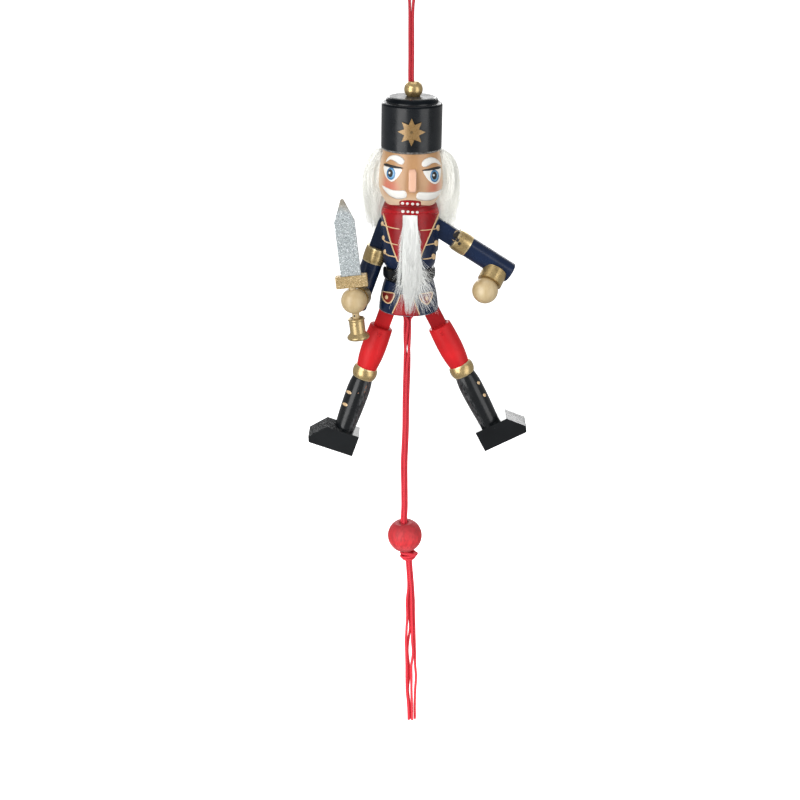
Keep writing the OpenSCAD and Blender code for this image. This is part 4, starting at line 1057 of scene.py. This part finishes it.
def make_skirt_front():
    panel("skirt_lining", "skirt", *SKIRT_OPENING.values(), VEST_PAINT)
    for side, line in SKIRT_OPENING.items():
        stroke(f"braid_skirt_{side}", "skirt", line, BRAID_PX, BRAID, 0.12)
    for side, (centre, button, outline) in POCKETS.items():
        patch(f"pocket_{side}", "skirt", centre, outline, DARK_RED, 0.08, steps=4)
        edge = [*outline, outline[0]]
        stroke(f"pocket_edge_{side}", "skirt", edge, POCKET_EDGE_PX, BRAID, 0.14, steps=4)
        dot(f"pocket_button_{side}", "skirt", button, POCKET_BUTTON_HALF, BRAID, 0.2, 0.05)


def make_boot_marks():
    for name, (spot, half, turn) in BOOT_MARKS.items():
        dot(f"boot_mark_{name}", f"boot_{name.split('_')[0]}", spot, half, BRAID, 0.1, turn=turn)
    for i, (boot, spot, half, turn) in enumerate(BOOT_CHIPS):
        dot(f"boot_chip_{i + 1}", boot, spot, half, BOOT_CHIP, 0.04, count=10, turn=turn)


def make_chips():
    for surface, (centre, outline) in PIN_CHIPS.items():
        patch(f"chip_{surface}", surface, centre, outline, CHIP, 0.12, steps=2)
    for i, path in enumerate(FLAKES):
        stroke(f"ring_chip_edge_{i + 1}", "arm_ring", path, FLAKE_PX, CHIP_LIGHT, 0.16, steps=3)
    for side, spot in THIGH_PIN_PX.items():
        dot(f"pin_fill_{side}", f"thigh_{side}", spot, THIGH_PIN_HALF, RED_PAINT, 0.03)
    dot("tang_nick", "sword_tang", TANG_NICK_PX, TANG_NICK_HALF, CHIP, 0.05, count=10)


make_coat_front()
make_skirt_front()
make_boot_marks()
make_chips()


# Fur: many thin tapered strands over a soft core, in millimetres; angles are degrees from the front

BACK = 180


def strand(shell, p, steps, radius):
    """A hair along a Bezier curve in metres; its radius is in millimetres."""
    path = []
    for k in range(steps + 1):
        t = k / steps
        s = 1 - t
        path.append(p[0] * s ** 3 + p[1] * 3 * s * s * t + p[2] * 3 * s * t * t + p[3] * t ** 3)
    shell.loft(tube_rings(path, lambda share: radius * MM * (1 - 0.8 * share ** 3), 3), cap=False)


def some(full):
    return range(full)


def fur_core(name, rings, paint, replaced):
    base = lay_on(name, "head", rings, paint)
    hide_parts(replaced)


# the core reaches lower at the nape than in the locks at the sides
CORE_STEPS = 40
CORE_START, CORE_END = 90, 270
LOCK_FROM = 74
LOCK_LOW, NAPE_LOW = -78.0, -84.5


def hair_core():
    """The curtain's own section, swept round from one side to the other."""
    rings = []
    for i in range(CORE_STEPS + 1):
        angle = CORE_START + (CORE_END - CORE_START) * i / CORE_STEPS
        low = LOCK_LOW if abs(angle - BACK) > LOCK_FROM else NAPE_LOW
        section = [(10.6, -60.4), (12.2, -60.6), (14.2, -64), (15.0, -68), (15.0, -72.5), (13.8, low + 4.5),
                   (12.4, low + 1.5), (11.6, low), (11.6, -74), (11.6, -68), (11.0, -64)]
        rings.append([around(angle, r, z) for r, z in section])
    fur_core("hair_core", rings, HAIR_FUR, "hair")


# how far round from the back the curtain hangs, and from where it is short
CURTAIN_REACH, CURTAIN_SHORT = 98, 88
CURTAIN_LOW, CURTAIN_FRINGE = -79.5, 11.5
HAIR_ROOT = 10.6
CURTAIN_OUT, CURTAIN_DEPTH = 12.6, 3.9


def curtain(shell, rng):
    for _ in some(5200):
        away = CURTAIN_REACH * (sqrt(rng.random()) if rng.random() < 0.55 else rng.random())
        angle = BACK + rng.choice((-1, 1)) * away
        layer = rng.random()
        low = CURTAIN_LOW - CURTAIN_FRINGE * rng.random() ** 1.7
        if away > CURTAIN_SHORT:
            low = rng.uniform(-80, -74)
            layer *= 0.5
        top = rng.uniform(-64, -60.4)
        wide = CURTAIN_OUT + CURTAIN_DEPTH * layer + (0.45 * layer if angle < BACK else 0)
        drift = rng.uniform(-5, 5)
        p = [around(angle, HAIR_ROOT + 1.8 * layer, top), around(angle + drift * 0.3, wide + 1.2, top - 2.5),
             around(angle + drift * 0.6, wide + 1.8, (top + low) / 2 - 3),
             around(angle + drift, wide - 1.2 + rng.uniform(-1.4, 1.2), low)]
        strand(shell, p, 8, rng.uniform(0.05, 0.09))


def temples(shell, rng):
    """Fur that hugs the head where hair and face meet."""
    for _ in some(2400):
        sign = rng.choice((-1, 1))
        angle = BACK + sign * rng.uniform(82, 96)
        top = rng.uniform(-76.5, -60.6)
        root = radius_at("head", angle, top)
        low = max(top - rng.uniform(5, 14), -88)
        end_angle = angle - sign * rng.uniform(0, 9)
        p = [around(angle, root - 0.15, top), around(angle, root + 0.9, top - 1.6),
             around((angle + end_angle) / 2, root + rng.uniform(0.9, 2.2), (top + low) / 2),
             around(end_angle, root + rng.uniform(0.2, 2.6), low)]
        strand(shell, p, 6, rng.uniform(0.045, 0.08))


def inner_fur(shell, rng):
    """Fur that fills the space between the curtain and the neck."""
    for _ in some(1700):
        angle = BACK + rng.choice((-1, 1)) * rng.uniform(52, 87)
        top = rng.uniform(-79, -70)
        low = -81.5 - 10 * rng.random() ** 1.7
        root = max(radius_at("head", angle, top), 8.5) + rng.uniform(-0.2, 1.8)
        end = max(radius_at("chest", angle, low), 9.5) + rng.uniform(0.2, 2.4)
        p = [around(angle, root, top), around(angle, root + 0.8, top - 2.5),
             around(angle, end + 0.6, (top + low) / 2 - 1.5), around(angle + rng.uniform(-4, 4), end, low)]
        strand(shell, p, 6, rng.uniform(0.05, 0.08))


def make_hair():
    rng = random.Random(7)
    hair_core()
    shell = Shell()
    for part in (curtain, temples, inner_fur):
        part(shell, rng)
    shell.build("hair_strands", "torso", HAIR_FUR)


# the coat's front is measured between these heights
FRONT_TOP, FRONT_LOW, FRONT_STEP = -80.0, -119.0, 1.0
BEARD_ROOT = -81.1
# the lock widens and leans to the viewer's right over a length below its flare
BEARD_HALF, BEARD_WIDEN, BEARD_LEAN = 2.5, 0.9, 0.6
FLARE_TOP, FLARE_LENGTH = -83, 13
BEARD_CORE = [(2.3, BEARD_ROOT), (2.3, -85), (2.4, -91), (2.5, -97), (2.2, -101), (1.4, -104.5), (0.6, -107)]
CORE_SIDES, CORE_SHIFT, CORE_LIFT, CORE_THICK = 12, -0.1, 0.35, 0.45


def coat_front():
    """The y of the coat's front, as a function of the height."""
    count = int((FRONT_TOP - FRONT_LOW) / FRONT_STEP) + 1
    line = [max(radius_at(surface, 0, FRONT_TOP - FRONT_STEP * i) for surface in ("chest", "belt", "skirt"))
            for i in range(count)]

    def front(z):
        i = min(max((FRONT_TOP - z) / FRONT_STEP, 0), count - 1.001)
        k = int(i)
        return -(line[k] + (line[k + 1] - line[k]) * (i - k))

    return front


def beard_core(front):
    rings = []
    turns = [tau * k / CORE_SIDES for k in range(CORE_SIDES)]
    for half, z in BEARD_CORE:
        y = front(z) - CORE_LIFT
        rings.append([Vector((half * cos(a) + CORE_SHIFT, y + CORE_THICK * sin(a), z)) * MM for a in turns])
    fur_core("beard_core", rings, BEARD_FUR, "beard")


def flare(z):
    return min(1, max(0, (FLARE_TOP - z) / FLARE_LENGTH))


def half_width(z):
    return BEARD_HALF + BEARD_WIDEN * flare(z)


def lock(rng, hair):
    for _ in some(3400):
        at_root = rng.random() < 0.3
        top = BEARD_ROOT - rng.uniform(0, 0.3) if at_root else BEARD_ROOT - 0.2 - 20 * rng.random() ** 1.3
        x = half_width(top) * rng.uniform(-1, 1) + BEARD_LEAN * flare(top)
        low = min(-99 - 19 * rng.random() ** 4.4, top - 8)
        end_x = 0.45 * x + rng.gauss(0, 0.7) + 0.1
        hair(x, top, end_x, low, rng.uniform(0.4, 1.3), rng.uniform(0.045, 0.08))


def edge_hairs(rng, hair):
    """Short hairs that stand off its edges."""
    for _ in some(300):
        side = rng.choice((-1, 1))
        top = rng.uniform(-84, -104)
        x = side * (half_width(top) - rng.uniform(0, 0.5))
        low = top - rng.uniform(2.5, 8)
        end_x = x + side * rng.uniform(0.3, 1.6)
        hair(x, top, end_x, low, rng.uniform(0.5, 1.4), rng.uniform(0.03, 0.05))


def loose_hairs(rng, hair):
    """Loose hairs that spread over the skirt, most of them to the viewer's right."""
    for _ in some(230):
        right = rng.random() < 0.72
        top = rng.uniform(-90, -103)
        x = rng.uniform(0, 2.6) if right else -rng.uniform(0, 2.4)
        low = rng.uniform(-118, -101)
        end_x = x + rng.uniform(1.5, 9.3) if right else x - rng.uniform(0.8, 4.8)
        hair(x, top, end_x, low, rng.uniform(0.5, 1.5), rng.uniform(0.034, 0.054))


def make_beard():
    rng = random.Random(11)
    shell = Shell()
    front = coat_front()

    def hair(x, top, end_x, low, out, radius):
        middle = (top + low) / 2
        drop = min(5, (top - low) / 3)
        wide = end_x - x
        p = [Vector((x, front(top) - rng.uniform(0.1, 0.7), top)),
             Vector((x + 0.08 * wide, front(top - drop) - out, top - drop)),
             Vector((x + 0.4 * wide + 0.5 * max(0, x), front(middle) - out, middle - drop / 2)),
             Vector((end_x, front(low) - rng.uniform(0.2, 1.8), low))]
        strand(shell, [point * MM for point in p], 8, radius)

    beard_core(front)
    for part in (lock, edge_hairs, loose_hairs):
        part(rng, hair)
    shell.build("beard_strands", "torso", BEARD_FUR)


make_hair()
make_beard()


# Plain studio, in metres and watts

AIM = (0, 0, -0.12)
LAMPS = {
    "key": ((-0.8, -1.0, 0.05), (0.9, 1.7), 20),
    "fill": ((0.95, -0.85, -0.1), (0.8, 1.7), 9.5),
    "top": ((0.0, 0.1, 1.1), (1.0, 0.8), 4),
    "back": ((0.0, 1.7, 0.85), (3.0, 0.7), 7),
    "low_left": ((-0.52, 1.7, 0.27), (0.5, 0.5), 5),
    "low_back": ((0.0, 1.7, 0.25), (0.5, 0.45), 1.2),
    "low_right": ((0.52, 1.7, 0.42), (0.5, 0.36), 3.6),
}
WORLD_LIGHT = 0.42
ROOM_HALF, FLOOR_Z = 10.0, -0.9


def make_lamps():
    for name, (place, size, power) in LAMPS.items():
        data = bpy.data.lights.new(name, "AREA")
        data.shape = "RECTANGLE"
        data.size, data.size_y = size
        data.energy = power
        lamp = put(name, data)
        lamp.location = place
        lamp.rotation_mode = "QUATERNION"
        lamp.rotation_quaternion = (Vector(AIM) - Vector(place)).to_track_quat("-Z", "Y")


def make_studio():
    world = bpy.data.worlds.new("studio")
    bpy.context.scene.world = world
    world.use_nodes = True
    background = world.node_tree.nodes["Background"]
    background.inputs["Color"].default_value = (1, 1, 1, 1)
    background.inputs["Strength"].default_value = WORLD_LIGHT
    paper = Paint("studio_paper", (0.9, 0.9, 0.9), 0.8, Emission_Color=(1, 1, 1, 1), Emission_Strength=1.0)
    paper.set("Roughness", paper.level(paper.noise(3, 2), 0, 1, 0.75, 0.85))
    square = ((-1, -1), (1, -1), (1, 1), (-1, 1))
    corners = [(x * ROOM_HALF, y * ROOM_HALF, z) for z in (FLOOR_Z, ROOM_HALF) for x, y in square]
    walls = [(0, 1, 5, 4), (1, 2, 6, 5), (2, 3, 7, 6), (3, 0, 4, 7), (4, 5, 6, 7)]
    for name, faces in (("floor", [(0, 1, 2, 3)]), ("backdrop", walls)):
        mesh = bpy.data.meshes.new(name)
        mesh.from_pydata(corners, [], faces)
        mesh.materials.append(paper.material)
        stage = put(name, mesh)
        # floor and backdrop show white, and leave the light to the world and the lamps
        stage.visible_diffuse = stage.visible_glossy = stage.visible_shadow = False
    bpy.context.scene.view_settings.view_transform = "Standard"


make_lamps()
make_studio()
